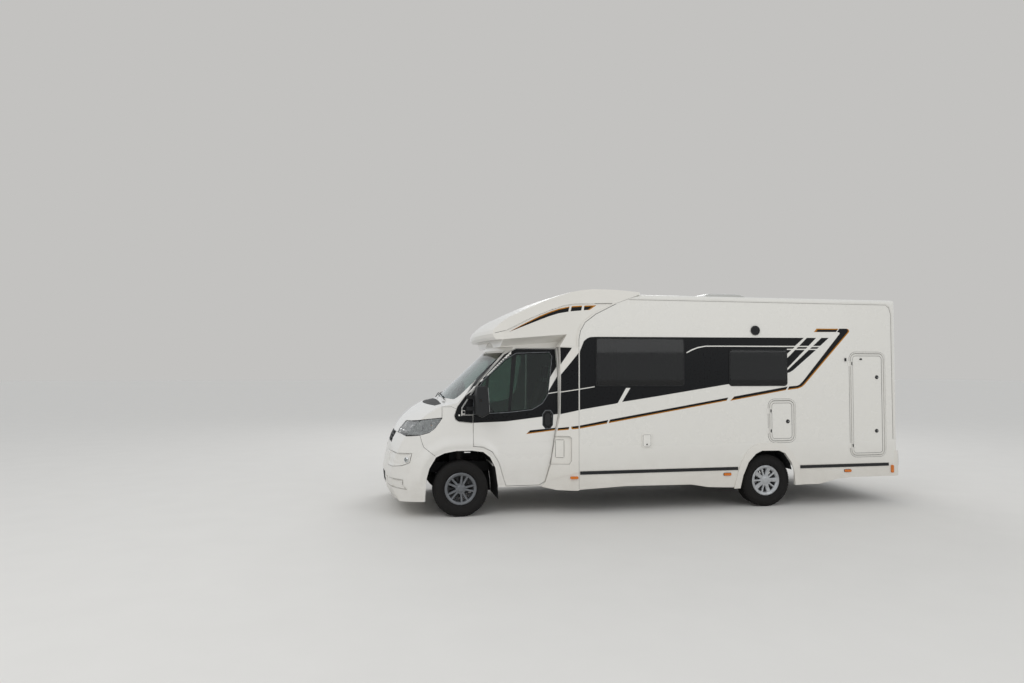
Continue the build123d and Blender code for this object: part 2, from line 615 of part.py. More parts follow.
# behind low, behind high, height low, height high
LIVING_WINDOWS = {
    -1: ((1670, 2860, 1590, 2204), (3481, 4321, 1587, 2069)),
    1: ((3300, 4140, 1587, 2069), (4500, 5100, 1587, 2069)),
}
LOCKER_DOOR = (4063, 4409, 868, 1389)
GARAGE_DOOR = (5272, 5768, 653, 2016)
ENTRY_DOOR = (2250, 2890, 560, 2330)
ENTRY_WINDOW = (2370, 2770, 1560, 2060)
LEAVES = {-1: (LOCKER_DOOR, GARAGE_DOOR), 1: (ENTRY_DOOR, GARAGE_DOOR)}
WINDOW_CORNER = 45.0
HATCH_CORNER = 70.0
WINDOW_FLANGE = 35.0
WALL_OUTSIDE = BODY_HALF_WIDTH
WALL_INSIDE = BODY_HALF_WIDTH - WALL_PANEL


def side_panel(limits, y, corner, grow=0.0):
    """Upright plate on the left side with rounded corners, between two distances from the middle."""
    low, high, foot, head = limits
    with BuildPart() as plate:
        with BuildSketch(Plane.XZ.offset(y[0])):
            with Locations((at((low + high) / 2), (foot + head) / 2)):
                RectangleRounded(high - low + 2 * grow, head - foot + 2 * grow, corner + grow)
        extrude(amount=y[1] - y[0], dir=(0, -1, 0))
    return plate.part


def to_side(piece, side):
    return piece if side < 0 else mirrored(piece)


HINGE_FRONT = 3.0
HINGE_STAND_OFF = 6.0
HINGE_RADIUS = 5.5
HINGE_PIN_RADIUS = 3.0
HINGE_HALF = 20.0
HINGE_LUG = 14.0
HINGE_LEAF = 45.0
HINGE_PLATE = 3.0


def hinge_heights(limits):
    return (limits[2] + 130, limits[3] - 130)


def barrel(limits, height, half, radius):
    """Round bar about the hinge line of a leaf, as long above the height as below it."""
    line = (limits[0] - HINGE_FRONT, -WALL_OUTSIDE - HINGE_STAND_OFF)
    return rod((*line, height - half), (*line, height + half), radius)


def leaf_hinge(limits, height):
    """The half of a surface hinge that turns with the leaf."""
    low = limits[0] - HINGE_FRONT
    with BuildPart() as half:
        add(barrel(limits, height, HINGE_HALF, HINGE_RADIUS))
        add(block((low, low + HINGE_LEAF), (-WALL_OUTSIDE - HINGE_PLATE, -WALL_OUTSIDE),
                  (height - HINGE_HALF, height + HINGE_HALF)))
        add(barrel(limits, height, HINGE_HALF + 1, HINGE_PIN_RADIUS + BEARING_CLEARANCE),
            mode=Mode.SUBTRACT)
    return half.part


def wall_hinge(limits, height):
    """The half of a surface hinge that stays on the wall, with its pin."""
    low = limits[0] - HINGE_FRONT
    with BuildPart() as half:
        add(barrel(limits, height, HINGE_HALF + HINGE_LUG, HINGE_RADIUS))
        add(block((low - HINGE_LEAF, low), (-WALL_OUTSIDE - HINGE_PLATE, -WALL_OUTSIDE),
                  (height - HINGE_HALF - HINGE_LUG, height + HINGE_HALF + HINGE_LUG)))
        add(block((low - 8, low + 8), (-WALL_OUTSIDE - 20, -WALL_OUTSIDE),
                  (height - HINGE_HALF - SEAT_GAP, height + HINGE_HALF + SEAT_GAP)),
            mode=Mode.SUBTRACT)
        add(barrel(limits, height, HINGE_HALF + HINGE_LUG, HINGE_PIN_RADIUS))
    return half.part


def side_wall(side):
    """Flat sandwich wall of one side with every opening of that side."""
    through = (WALL_INSIDE - 50, WALL_OUTSIDE + 50)
    with BuildPart() as wall:
        add(side_slab(WALL_OUTLINE, -WALL_OUTSIDE, -WALL_INSIDE))
        for limits in LIVING_WINDOWS[side]:
            add(side_panel(limits, through, WINDOW_CORNER, -WINDOW_FLANGE), mode=Mode.SUBTRACT)
        add(side_slab(REAR_ARCH, -FAR, 0), mode=Mode.SUBTRACT)
        for limits in LEAVES[side]:
            add(side_panel(limits, through, HATCH_CORNER, SHUT_GAP), mode=Mode.SUBTRACT)
            for height in hinge_heights(limits):
                add(wall_hinge(limits, height))
    return to_side(wall.part, side)


save(side_wall(-1), "left_wall")
save(side_wall(1), "right_wall")

# Living windows: dark double acrylic panes hung in black frames that stand on the wall.
PANE_PROUD = 14.0
panes = []
for side, windows in LIVING_WINDOWS.items():
    for limits in windows:
        with BuildPart() as pane:
            add(side_panel(limits, (WALL_OUTSIDE, WALL_OUTSIDE + PANE_PROUD), WINDOW_CORNER))
            add(side_panel(limits, (WALL_OUTSIDE - 20, WALL_OUTSIDE), WINDOW_CORNER,
                           -WINDOW_FLANGE - SEAT_GAP))
        panes.append(to_side(pane.part, side))
save(Compound(children=panes), "living_windows")


def hatch(limits, window=None):
    """Flush leaf of a hatch or door on the left side, as thick as the wall, with its hinges."""
    with BuildPart() as leaf:
        add(side_panel(limits, (WALL_INSIDE, WALL_OUTSIDE), HATCH_CORNER))
        for height in hinge_heights(limits):
            add(leaf_hinge(limits, height))
        if window:
            add(side_panel(window, (WALL_INSIDE - 10, WALL_OUTSIDE + 10), WINDOW_CORNER),
                mode=Mode.SUBTRACT)
    return leaf.part


save(hatch(LOCKER_DOOR), "locker_door")
save(hatch(GARAGE_DOOR), "left_garage_door")
save(mirrored(hatch(GARAGE_DOOR)), "right_garage_door")
save(mirrored(hatch(ENTRY_DOOR, ENTRY_WINDOW)), "entry_door")
entry_pane = side_panel(ENTRY_WINDOW, (WALL_INSIDE + 6, WALL_OUTSIDE - 4), WINDOW_CORNER, -SEAT_GAP)
save(mirrored(entry_pane), "entry_door_window")

# Roof: one sandwich panel with rounded edge mouldings, rolled down at the rear corners.
ROOF_EDGE_RADIUS = 55.0
ROOF_REAR_RADIUS = 135.0
ROOF_CROWN = 14.0


def roof_form(inset):
    wide = BODY_HALF_WIDTH - inset
    with BuildPart() as form:
        with BuildSketch(Plane.YZ.offset(at(1900))):
            with BuildLine():
                edge = ROOF_HEIGHT - inset
                Polyline((-wide, edge - ROOF_EDGE_RADIUS), (-wide, 2000), (wide, 2000),
                         (wide, edge - ROOF_EDGE_RADIUS))
                RadiusArc((-wide, edge - ROOF_EDGE_RADIUS), (ROOF_EDGE_RADIUS - wide, edge),
                          ROOF_EDGE_RADIUS)
                ThreePointArc((ROOF_EDGE_RADIUS - wide, edge), (0, edge + ROOF_CROWN),
                              (wide - ROOF_EDGE_RADIUS, edge))
                RadiusArc((wide - ROOF_EDGE_RADIUS, edge), (wide, edge - ROOF_EDGE_RADIUS),
                          ROOF_EDGE_RADIUS)
            make_face()
        extrude(amount=REAR_FACE - 1900 - inset, dir=(1, 0, 0))
        with BuildSketch(Plane.XY):
            with BuildLine():
                FilletPolyline((at(1000), -wide), (at(REAR_FACE - inset), -wide),
                               (at(REAR_FACE - inset), wide), (at(1000), wide),
                               radius=CORNER_RADIUS, close=True)
            make_face()
        extrude(amount=FAR, dir=(0, 0, 1), mode=Mode.INTERSECT)
        with BuildSketch(Plane.XZ.offset(-FAR)):
            with BuildLine():
                high = ROOF_HEIGHT + ROOF_CROWN + 10 - inset
                turn = REAR_FACE - inset
                Polyline((at(turn), high - ROOF_REAR_RADIUS), (at(turn), 2000), (at(1900), 2000),
                         (at(1900), high), (at(turn - ROOF_REAR_RADIUS), high))
                RadiusArc((at(turn - ROOF_REAR_RADIUS), high), (at(turn), high - ROOF_REAR_RADIUS),
                          ROOF_REAR_RADIUS)
            make_face()
        extrude(amount=2 * FAR, dir=(0, -1, 0), mode=Mode.INTERSECT)
    return form.part


with BuildPart() as roof_panel:
    add(roof_form(0))
    add(roof_form(WALL_PANEL), mode=Mode.SUBTRACT)
    add(block((1000, FAR * 3), (-FAR, FAR), (0, ROOF_FOOT)), mode=Mode.SUBTRACT)
    add(side_slab(((0, 0), (EDGE_AT_ROOF_FOOT, 0), (EDGE_AT_ROOF_FOOT, ROOF_FOOT), OVERCAB_EDGE[0],
                   (OVERCAB_REAR, 2 * FAR), (0, 2 * FAR)), -FAR, FAR, grow=SEAT_GAP),
        mode=Mode.SUBTRACT)
save(roof_panel.part, "roof_panel")

# Rear wall: a sandwich panel with rounded GRP corner posts.
REAR_WALL_FOOT = 700.0
with BuildPart() as rear_wall:
    with BuildSketch(Plane.XY.offset(REAR_WALL_FOOT)):
        with BuildLine():
            FilletPolyline((at(1000), -WALL_OUTSIDE), (at(REAR_FACE), -WALL_OUTSIDE),
                           (at(REAR_FACE), WALL_OUTSIDE), (at(1000), WALL_OUTSIDE),
                           radius=CORNER_RADIUS, close=True)
        make_face()
        offset(amount=-WALL_PANEL, mode=Mode.SUBTRACT)
    extrude(amount=ROOF_FOOT - REAR_WALL_FOOT, dir=(0, 0, 1))
    add(block((0, REAR_WALL_FRONT), (-FAR, FAR), (0, FAR)), mode=Mode.SUBTRACT)
save(rear_wall.part, "rear_wall")

# Rear bumper: a GRP moulding across the tail that wraps both corners, with lamp pockets.
REAR_BUMPER_FOOT = 360.0
LAMP_POCKET = ((700, 480), (1080, 480), (1080, 660), (700, 660))
with BuildPart() as rear_bumper:
    with BuildSketch(Plane.XY.offset(REAR_BUMPER_FOOT)):
        reach = REAR_FACE + REAR_BUMPER_REACH
        with BuildLine():
            FilletPolyline((at(1000), -WALL_OUTSIDE), (at(reach), -WALL_OUTSIDE),
                           (at(reach), WALL_OUTSIDE), (at(1000), WALL_OUTSIDE),
                           radius=CORNER_RADIUS + 45, close=True)
        make_face()
        offset(amount=-MOULDING_PANEL, mode=Mode.SUBTRACT)
    extrude(amount=REAR_WALL_FOOT - REAR_BUMPER_FOOT, dir=(0, 0, 1))
    add(block((0, REAR_WALL_FRONT), (-FAR, FAR), (0, FAR)), mode=Mode.SUBTRACT)
    add(block((REAR_FACE - WALL_PANEL, REAR_FACE + REAR_BUMPER_REACH - MOULDING_PANEL + 1),
              (-1030, 1030), (REAR_WALL_FOOT - MOULDING_PANEL, REAR_WALL_FOOT)))
    for side in (-1, 1):
        pocket = [(side * y, height) for y, height in LAMP_POCKET]
        add(front_slab(pocket, REAR_FACE - 100, REAR_FACE + 200, corner=20), mode=Mode.SUBTRACT)
save(rear_bumper.part, "rear_bumper")

# Rear lamps: one cluster in each bumper pocket, and red corner markers.
lamps = []
for side in (-1, 1):
    pocket = [(side * y, height) for y, height in LAMP_POCKET]
    lamps.append(front_slab(pocket, reach - MOULDING_PANEL, reach - 3, grow=-SEAT_GAP, corner=20))
save(Compound(children=lamps), "rear_lamps")

# Skirts: GRP mouldings under the walls, ahead of and behind each rear wheel, with the arch trims.
FRONT_SKIRT = (
    (BODY_FRONT, WALL_FOOT), (BODY_FRONT, 312), (2082, 340), (2948, 332), (3180, 292), (3627, 273),
    (3627, WALL_FOOT),
)
REAR_SKIRT = (
    (4416, WALL_FOOT), (4416, 286), (4780, 285), (5032, 342), (5244, 361), (REAR_WALL_FRONT, 361),
    (REAR_WALL_FRONT, WALL_FOOT),
)
ARCH_TRIM_PROUD = 12.0
with BuildPart() as skirt:
    add(side_slab(FRONT_SKIRT, -WALL_OUTSIDE, MOULDING_PANEL - WALL_OUTSIDE))
    add(side_slab(REAR_SKIRT, -WALL_OUTSIDE, MOULDING_PANEL - WALL_OUTSIDE))
    add(side_slab(REAR_ARCH_TRIM, -WALL_OUTSIDE - ARCH_TRIM_PROUD, -WALL_OUTSIDE))
    add(side_slab(REAR_ARCH, -FAR, 0), mode=Mode.SUBTRACT)
save(Compound(children=[skirt.part, mirrored(skirt.part)]), "skirts")

# Side fairings: GRP panels that widen from the cab's door pillar to the living part, with the
# recess of the fuel flap in the left one.
FAIRING = (
    (1221, OVERCAB_FOOT - SEAT_GAP), (1231, 1700), (1226, 1238), (1178, 981), (1126, 640),
    (1054, 410), (1007, 345), (1180, 308), (BODY_FRONT - SEAT_GAP, 300),
    (BODY_FRONT - SEAT_GAP, OVERCAB_FOOT - SEAT_GAP),
)
with BuildPart() as fairing_form:
    with BuildSketch(Plane.XY):
        with BuildLine():
            Polyline((at(960), -CAB_HALF_WIDTH), (at(1240), -CAB_HALF_WIDTH),
                     (at(1240), 30 - CAB_HALF_WIDTH), (at(BODY_FRONT), 30 - WALL_OUTSIDE),
                     (at(BODY_FRONT), -WALL_OUTSIDE), (at(1340), -WALL_OUTSIDE + 14),
                     (at(960), -CAB_HALF_WIDTH - 4), close=True)
        make_face()
    extrude(amount=FAR, dir=(0, 0, 1))
    add(side_slab(FAIRING, -FAR, 0), mode=Mode.INTERSECT)
FUEL_RECESS = ((1174, 973), (1340, 970), (1363, 947), (1363, 670), (1334, 627), (1100, 627), (1145, 800))
FUEL_FLAP = (1168, 1282, 700, 932)
FUEL_RECESS_FLOOR = ((900, -987), (1454, -1143), (1454, -FAR), (900, -FAR))
FUEL_FLAP_FACE = ((900, -991), (1454, -1147), (1454, -900), (900, -900))
with BuildPart() as left_fairing:
    add(fairing_form.part)
    with BuildPart(mode=Mode.PRIVATE) as fuel_recess:
        add(side_slab(FUEL_RECESS, -FAR, 0))
        add(plan_slab(FUEL_RECESS_FLOOR, 0, FAR), mode=Mode.INTERSECT)
    add(fuel_recess.part, mode=Mode.SUBTRACT)
    low, high, foot, head = FUEL_FLAP
    with BuildPart(mode=Mode.PRIVATE) as fuel_flap:
        add(side_slab(((low, foot), (high, foot), (high, head), (low, head)), -FAR,
                      -CAB_HALF_WIDTH - 5, corner=18))
        add(plan_slab(FUEL_FLAP_FACE, 0, FAR), mode=Mode.INTERSECT)
    add(fuel_flap.part)
save(Compound(children=[left_fairing.part, mirrored(fairing_form.part)]), "side_fairings")

# Roof fittings: an opening roof light and two small vents.
# behind, y, length, width, height
ROOF_FITTINGS = ((3840, -100, 700, 700, 118), (2500, 350, 400, 400, 80), (5000, 200, 400, 400, 80))
vents = []
for behind, y, long, wide, tall in ROOF_FITTINGS:
    with BuildPart() as vent:
        with BuildSketch(Plane.XY.offset(ROOF_HEIGHT + ROOF_CROWN + SEAT_GAP)):
            with Locations((at(behind), y)):
                RectangleRounded(long, wide, 60)
        extrude(amount=tall, taper=12)
    vents.append(vent.part)
save(Compound(children=vents), "roof_vents")

# Living floor: sandwich panel that ties the walls, on the chassis cross members.
with BuildPart() as floor_panel:
    add(block((BODY_FRONT, REAR_WALL_FRONT), (-WALL_INSIDE, WALL_INSIDE),
              (FLOOR_UNDERSIDE, FLOOR_UNDERSIDE + FLOOR_THICKNESS)))
    add(block((CAB_REAR + SHUT_GAP, BODY_FRONT), (-CAB_INNER_HALF, CAB_INNER_HALF),
              (FLOOR_UNDERSIDE, FLOOR_UNDERSIDE + FLOOR_THICKNESS)))
save(floor_panel.part, "floor_panel")

# Chassis: two steel side members from the nose to the tail with jacking pads welded under them,
# cross members that reach out to the walls, and a plate for a tow bar under the tail.
RAIL_Y = (380.0, 440.0)
RAIL_HEIGHT = (470.0, 600.0)
CROSS_MEMBERS = (1600, 2500, 3350, 4600, 5200, 5800)
CROSS_WIDTH = 60.0
OUTRIGGER_HALF = 1090.0
REAR_RAIL_END = 5860.0
TOW_PLATE_FRONT = 5600.0
TOW_PLATE = 12.0
TOW_HOLE_RADIUS = 8.5
TOW_HOLE_BEHIND = 5730.0
TOW_HOLE_SPACING = (150.0, 400.0)
JACKING_PAD = ((2930, 3070), 8.0)
members = []
for side in (-1, 1):
    low, high = sorted(side * y for y in RAIL_Y)
    members.append(block((-560, REAR_RAIL_END), (low, high), RAIL_HEIGHT))
    members.append(block(JACKING_PAD[0], (low, high), (RAIL_HEIGHT[0] - JACKING_PAD[1], RAIL_HEIGHT[0])))
for behind in CROSS_MEMBERS:
    members.append(block((behind, behind + CROSS_WIDTH), (-OUTRIGGER_HALF, OUTRIGGER_HALF),
                         (RAIL_HEIGHT[1], FLOOR_UNDERSIDE)))
members.append(block((-300, 300), (-RAIL_Y[0], RAIL_Y[0]), (RAIL_HEIGHT[0], RAIL_HEIGHT[0] + 50)))
with BuildPart() as tow_plate:
    add(block((TOW_PLATE_FRONT, REAR_RAIL_END), (-RAIL_Y[1], RAIL_Y[1]),
              (RAIL_HEIGHT[0] - TOW_PLATE, RAIL_HEIGHT[0])))
    with BuildSketch(Plane.XY.offset(RAIL_HEIGHT[0] - TOW_PLATE)):
        with Locations((at(TOW_HOLE_BEHIND), 0)):
            with GridLocations(*TOW_HOLE_SPACING, 2, 2):
                Circle(TOW_HOLE_RADIUS)
    extrude(amount=TOW_PLATE, dir=(0, 0, 1), mode=Mode.SUBTRACT)
save(Compound(children=members + [tow_plate.part]), "chassis_frame")

# Engine and gearbox, one plain block between the front side members.
ENGINE_FOOT = RAIL_HEIGHT[0] + 50
engine = block((-620, -210), (-330, 330), (ENGINE_FOOT, 930))
save(engine, "engine_block")

# Exhaust: a steel pipe from the engine's underside that passes under the right side member to a
# silencer and out ahead of the right rear wheel, hung from a cross member.
PIPE_RADIUS = 27.0
EXHAUST_HEIGHT = 430.0
PIPE_BEND = 80.0
PIPE_RUN = (
    (-420, 200, ENGINE_FOOT), (-420, 200, EXHAUST_HEIGHT), (900, 200, EXHAUST_HEIGHT),
    (1150, 590, EXHAUST_HEIGHT), (2450, 590, EXHAUST_HEIGHT),
)
TAIL_RUN = ((2950, 590, EXHAUST_HEIGHT), (3080, 590, EXHAUST_HEIGHT), (3330, 1060, 390))
SILENCER = ((2440, 2960), (490, 690), (365, 495))
HANGER_BEHIND = 2530.0
with BuildPart() as exhaust:
    add(block(*SILENCER))
    fillet(exhaust.edges().filter_by(Axis.X), radius=45)
    for run in (PIPE_RUN, TAIL_RUN):
        with BuildLine() as route:
            FilletPolyline(*[(at(behind), y, height) for behind, y, height in run], radius=PIPE_BEND)
        with BuildSketch(Plane(origin=route.line @ 0, z_dir=route.line % 0)):
            Circle(PIPE_RADIUS)
        sweep(path=route.line)
    add(rod((HANGER_BEHIND, 590, 490), (HANGER_BEHIND, 590, RAIL_HEIGHT[1]), 8))
save(exhaust.part, "exhaust")

# Wheel arch liners: thin black plastic tunnels round the front wheels and boxes round the rear ones.
LINER = 4.0
LINER_Y = (-972.0, -640.0)
REAR_LINER_Y = (-WALL_INSIDE + SEAT_GAP, -850.0)
with BuildPart() as front_liner:
    add(side_slab(FRONT_ARCH, *LINER_Y, grow=LINER))
    add(arch_cut, mode=Mode.SUBTRACT)
    add(block((-1000, 1000), (-FAR, FAR), (0, 360)), mode=Mode.SUBTRACT)
    add(block((-90 - SEAT_GAP, 90 + SEAT_GAP), (-FAR, FAR), (700, 900)), mode=Mode.SUBTRACT)
    add(side_slab(BULKHEAD, -FAR, FAR, grow=SEAT_GAP), mode=Mode.SUBTRACT)
with BuildPart() as rear_liner:
    add(side_slab(REAR_ARCH, *REAR_LINER_Y))
    add(side_slab(REAR_ARCH, -FAR, REAR_LINER_Y[1] - LINER, grow=-LINER), mode=Mode.SUBTRACT)
    add(block((3000, 5000), (-FAR, FAR), (0, 480)), mode=Mode.SUBTRACT)
liners = front_liner.part.solids() + rear_liner.part.solids()
save(Compound(children=liners + [mirrored(liner) for liner in liners]), "wheel_arch_liners")

# Wall fittings on the left side: a round vent and the lidded box of the mains inlet.
VENT = (3860, 2317, 60)
INLET_BOX = (2282, 2404, 825, 987)
FITTING_PROUD = 16.0
inlet_box = side_panel(INLET_BOX, (WALL_OUTSIDE, WALL_OUTSIDE + FITTING_PROUD), 12)
round_vent = rod((VENT[0], -WALL_OUTSIDE, VENT[1]), (VENT[0], -WALL_OUTSIDE - FITTING_PROUD, VENT[1]),
                 VENT[2])
save(Compound(children=[inlet_box, round_vent]), "wall_fittings")

# Underfloor tanks: fuel tank on the left rail, waste water tank under the rear floor.
fuel_tank = block((1450, 2250), (-1000, -RAIL_Y[1]), (330, 590))
waste_tank = block((4700, 5150), (-360, 360), (430, FLOOR_UNDERSIDE))
save(Compound(children=[fuel_tank, waste_tank]), "underfloor_tanks")

# Wheels: radial tyres on steel rims behind moulded trims, on stub spindles.
TYRE_SECTION = (
    (-80, 206), (-80, RIM_SEAT_RADIUS), (80, RIM_SEAT_RADIUS), (80, 206), (TYRE_WIDTH / 2 - 6, 225),
    (TYRE_WIDTH / 2, SIDEWALL_RADIUS), (TYRE_WIDTH / 2 - 12, 318), (82, 337), (40, TYRE_RADIUS),
    (-40, TYRE_RADIUS), (-82, 337), (12 - TYRE_WIDTH / 2, 318), (-TYRE_WIDTH / 2, SIDEWALL_RADIUS),
    (6 - TYRE_WIDTH / 2, 225),
)
RIM_SECTION = (
    (-RIM_WIDTH / 2, 204), (-RIM_WIDTH / 2, 180), (10, 168), (46, 150), (20, 70), (-HUB_HALF, 70),
    (-HUB_HALF, SPINDLE_RADIUS), (HUB_HALF, SPINDLE_RADIUS), (HUB_HALF, 60), (DISC_FACE, 150),
    (DISC_FACE - 6, 180), (RIM_WIDTH / 2, 180), (RIM_WIDTH / 2, 204), (81, 204),
    (80.5, RIM_SEAT_RADIUS - SEAT_GAP), (-80.5, RIM_SEAT_RADIUS - SEAT_GAP), (-81, 204),
)
RIM_SLOTS = 15


def wheel_section(section, centre, outboard):
    """Ring about the wheel's axle from (outboard distance, radius) points."""
    with BuildPart() as ring:
        with BuildSketch(Plane(origin=centre, x_dir=(0, outboard, 0), z_dir=(outboard, 0, 0))):
            with BuildLine():
                Polyline(*section, close=True)
            make_face()
        revolve(axis=Axis(centre, (0, 1, 0)))
    return ring.part


def rim(centre, outboard):
    with BuildPart() as wheel_rim:
        add(wheel_section(RIM_SECTION, centre, outboard))
        with BuildSketch(Plane(origin=centre, x_dir=(1, 0, 0), z_dir=(0, outboard, 0))):
            with PolarLocations(112, RIM_SLOTS):
                SlotOverall(62, 20)
        extrude(amount=100, mode=Mode.SUBTRACT)
    return wheel_rim.part


WHEELS = {
    "front_left": (0.0, -FRONT_WHEEL_Y, -1), "front_right": (0.0, FRONT_WHEEL_Y, 1),
    "rear_left": (WHEELBASE, -REAR_WHEEL_Y, -1), "rear_right": (WHEELBASE, REAR_WHEEL_Y, 1),
}
for corner, (behind, y, outboard) in WHEELS.items():
    centre = Vector(at(behind), y, TYRE_RADIUS)
    save(wheel_section(TYRE_SECTION, centre, outboard), f"{corner}_tyre")
    save(rim(centre, outboard), f"{corner}_rim")

# Front knuckles: cast uprights with the strut above and the stub spindle, turning about the line
# from the lower ball joint to the strut's top mount.
STRUT_TOP = (0.0, -700.0, 792.0)
BALL_JOINT = (0.0, -835.0, 245.0)
BALL_PIN_RADIUS = 14.0
KNUCKLE_LOW = 266.0
STRUT_RADIUS = 30.0
LEAN = (STRUT_TOP[1] - BALL_JOINT[1]) / (STRUT_TOP[2] - BALL_JOINT[2])


def on_steering_axis(height):
    return (0.0, BALL_JOINT[1] + LEAN * (height - BALL_JOINT[2]), height)


with BuildPart() as knuckle:
    add(rod(on_steering_axis(KNUCKLE_LOW), on_steering_axis(430), 27))
    add(rod(on_steering_axis(420), on_steering_axis(STRUT_TOP[2]), STRUT_RADIUS))
    add(rod((0, -FRONT_WHEEL_Y + HUB_HALF + 6, TYRE_RADIUS), (0, -790, TYRE_RADIUS), 48))
    add(rod((0, -FRONT_WHEEL_Y - HUB_HALF + 4, TYRE_RADIUS), (0, -790, TYRE_RADIUS),
            SPINDLE_RADIUS - BEARING_CLEARANCE))
    pin_hole = rod(on_steering_axis(KNUCKLE_LOW - 10), on_steering_axis(KNUCKLE_LOW + 30),
                   BALL_PIN_RADIUS + BEARING_CLEARANCE)
    add(pin_hole, mode=Mode.SUBTRACT)
save(knuckle.part, "left_knuckle")
save(mirrored(knuckle.part), "right_knuckle")

# Front suspension: lower arms with ball pins, the subframe that carries them and the strut towers.
ARM_HEIGHT = (212.0, 250.0)
with BuildPart() as front_arm:
    with BuildSketch(Plane.XY.offset(ARM_HEIGHT[0])):
        with BuildLine():
            Polyline((at(-170), -400), (at(-34), -790), (at(-34), -862), (at(34), -862),
                     (at(34), -790), (at(210), -400), close=True)
        make_face()
    extrude(amount=ARM_HEIGHT[1] - ARM_HEIGHT[0])
    add(rod(on_steering_axis(ARM_HEIGHT[0] + 10), on_steering_axis(KNUCKLE_LOW + 28),
            BALL_PIN_RADIUS))
with BuildPart() as front_suspension:
    add(front_arm.part)
    add(mirrored(front_arm.part))
    add(block((-200, 240), (-410, 410), (ARM_HEIGHT[0], ARM_HEIGHT[1] + 20)))
    for side in (-1, 1):
        low, high = sorted(side * y for y in RAIL_Y)
        add(block((-60, 60), (low, high), (ARM_HEIGHT[1], RAIL_HEIGHT[0])))
        low, high = sorted((side * RAIL_Y[1], side * (RAIL_Y[1] + 40)))
        add(block((-90, 90), (low, high), (RAIL_HEIGHT[0] + 20, 835)))
        low, high = sorted((side * RAIL_Y[1], side * CAB_INNER_HALF))
        add(block((-90, 90), (low, high), (STRUT_TOP[2] + 8, 835)))
save(front_suspension.part, "front_suspension")

# Rear axle: a tube with stub spindles on two leaf springs under the side members.
SPRING_Y = (RAIL_Y[1] + 60, RAIL_Y[1] + 130)
SPRING_HALF = 640.0
SPRING_THICKNESS = 24.0
with BuildPart() as rear_axle:
    add(rod((WHEELBASE, -REAR_WHEEL_Y + HUB_HALF + 6, TYRE_RADIUS),
            (WHEELBASE, REAR_WHEEL_Y - HUB_HALF - 6, TYRE_RADIUS), 45))
    add(rod((WHEELBASE, -REAR_WHEEL_Y - HUB_HALF + 4, TYRE_RADIUS),
            (WHEELBASE, REAR_WHEEL_Y + HUB_HALF - 4, TYRE_RADIUS),
            SPINDLE_RADIUS - BEARING_CLEARANCE))
    for side in (-1, 1):
        low, high = sorted(side * y for y in SPRING_Y)
        with BuildSketch(Plane.XZ.offset(-high)):
            with BuildLine():
                over = TYRE_RADIUS + 40
                top = ThreePointArc((at(WHEELBASE - SPRING_HALF), over + 80), (at(WHEELBASE), over),
                                    (at(WHEELBASE + SPRING_HALF), over + 80))
                offset_2d = ThreePointArc(
                    (at(WHEELBASE - SPRING_HALF), over + 80 + SPRING_THICKNESS),
                    (at(WHEELBASE), over + SPRING_THICKNESS),
                    (at(WHEELBASE + SPRING_HALF), over + 80 + SPRING_THICKNESS))
                Line(top @ 0, offset_2d @ 0)
                Line(top @ 1, offset_2d @ 1)
            make_face()
        extrude(amount=high - low, dir=(0, -1, 0))
        for end in (-1, 1):
            behind = WHEELBASE + end * (SPRING_HALF - 30)
            low, high = sorted((side * RAIL_Y[1], side * SPRING_Y[1]))
            add(block((behind - 25, behind + 25), (low, high), (440, 560)))
save(rear_axle.part, "rear_axle")

# Dashboard and steering wheel, seen through the cab's glass.
DASH_HALF = 900.0
DASH = ((SEAT_GAP - 150, 1010), (330, 900), (350, 1150), (230, 1290), (-90, 1330), (SEAT_GAP - 150, 1290))
dashboard = side_slab(DASH, -DASH_HALF, DASH_HALF)
save(dashboard, "dashboard")
WHEEL_CENTRE = (470.0, -430.0, 1235.0)
with BuildPart() as steering_wheel:
    tilt = Plane(origin=(at(WHEEL_CENTRE[0]), WHEEL_CENTRE[1], WHEEL_CENTRE[2]),
                 x_dir=(0, 1, 0), z_dir=(0.75, 0, 0.66))
    with BuildSketch(Plane(origin=tilt.origin, x_dir=tilt.x_dir, z_dir=tilt.y_dir)):
        with Locations((190, 0)):
            Circle(15)
    revolve(axis=Axis(tilt.origin, tilt.z_dir))
    with BuildSketch(tilt):
        Circle(60)
        with PolarLocations(0, 3, start_angle=30):
            with Locations((90, 0)):
                Rectangle(190, 34)
    extrude(amount=-24)
    with BuildSketch(tilt.offset(-20)):
        Circle(32)
    extrude(amount=-150)
    add(dashboard, mode=Mode.SUBTRACT)
save(steering_wheel.part, "steering_wheel")

# Cab seats: two upholstered swivel seats on steel pedestals.
SEAT_CUSHION = ((715, 990), (740, 940), (1235, 905), (1285, 985), (1255, 1085), (760, 1100), (720, 1070))
SEAT_BACK = ((1205, 1010), (1295, 985), (1440, 1560), (1418, 1640), (1345, 1640), (1170, 1085))
HEAD_RESTRAINT = ((1365, 1660), (1430, 1655), (1462, 1830), (1430, 1865), (1385, 1850))
SEAT_MIDDLES = (-490.0, 490.0)
SEAT_HALF = 255.0
seats = []
for middle in SEAT_MIDDLES:
    with BuildPart() as seat:
        add(side_slab(SEAT_CUSHION, middle - SEAT_HALF, middle + SEAT_HALF, corner=18))
        add(side_slab(SEAT_BACK, middle + 15 - SEAT_HALF, middle + SEAT_HALF - 15, corner=18))
    with BuildPart() as head_restraint:
        add(side_slab(HEAD_RESTRAINT, middle - 130, middle + 130, corner=14))
        for y in (middle - 60, middle + 60):
            add(rod((1378, y, 1600), (1398, y, 1680), 6))
        add(seat.part, mode=Mode.SUBTRACT)
    pedestal = block((850, 1150), (middle - 180, middle + 180), (CAB_FLOOR[1], 950))
    seats += [seat.part, head_restraint.part, pedestal - seat.part]
save(Compound(children=seats), "cab_seats")

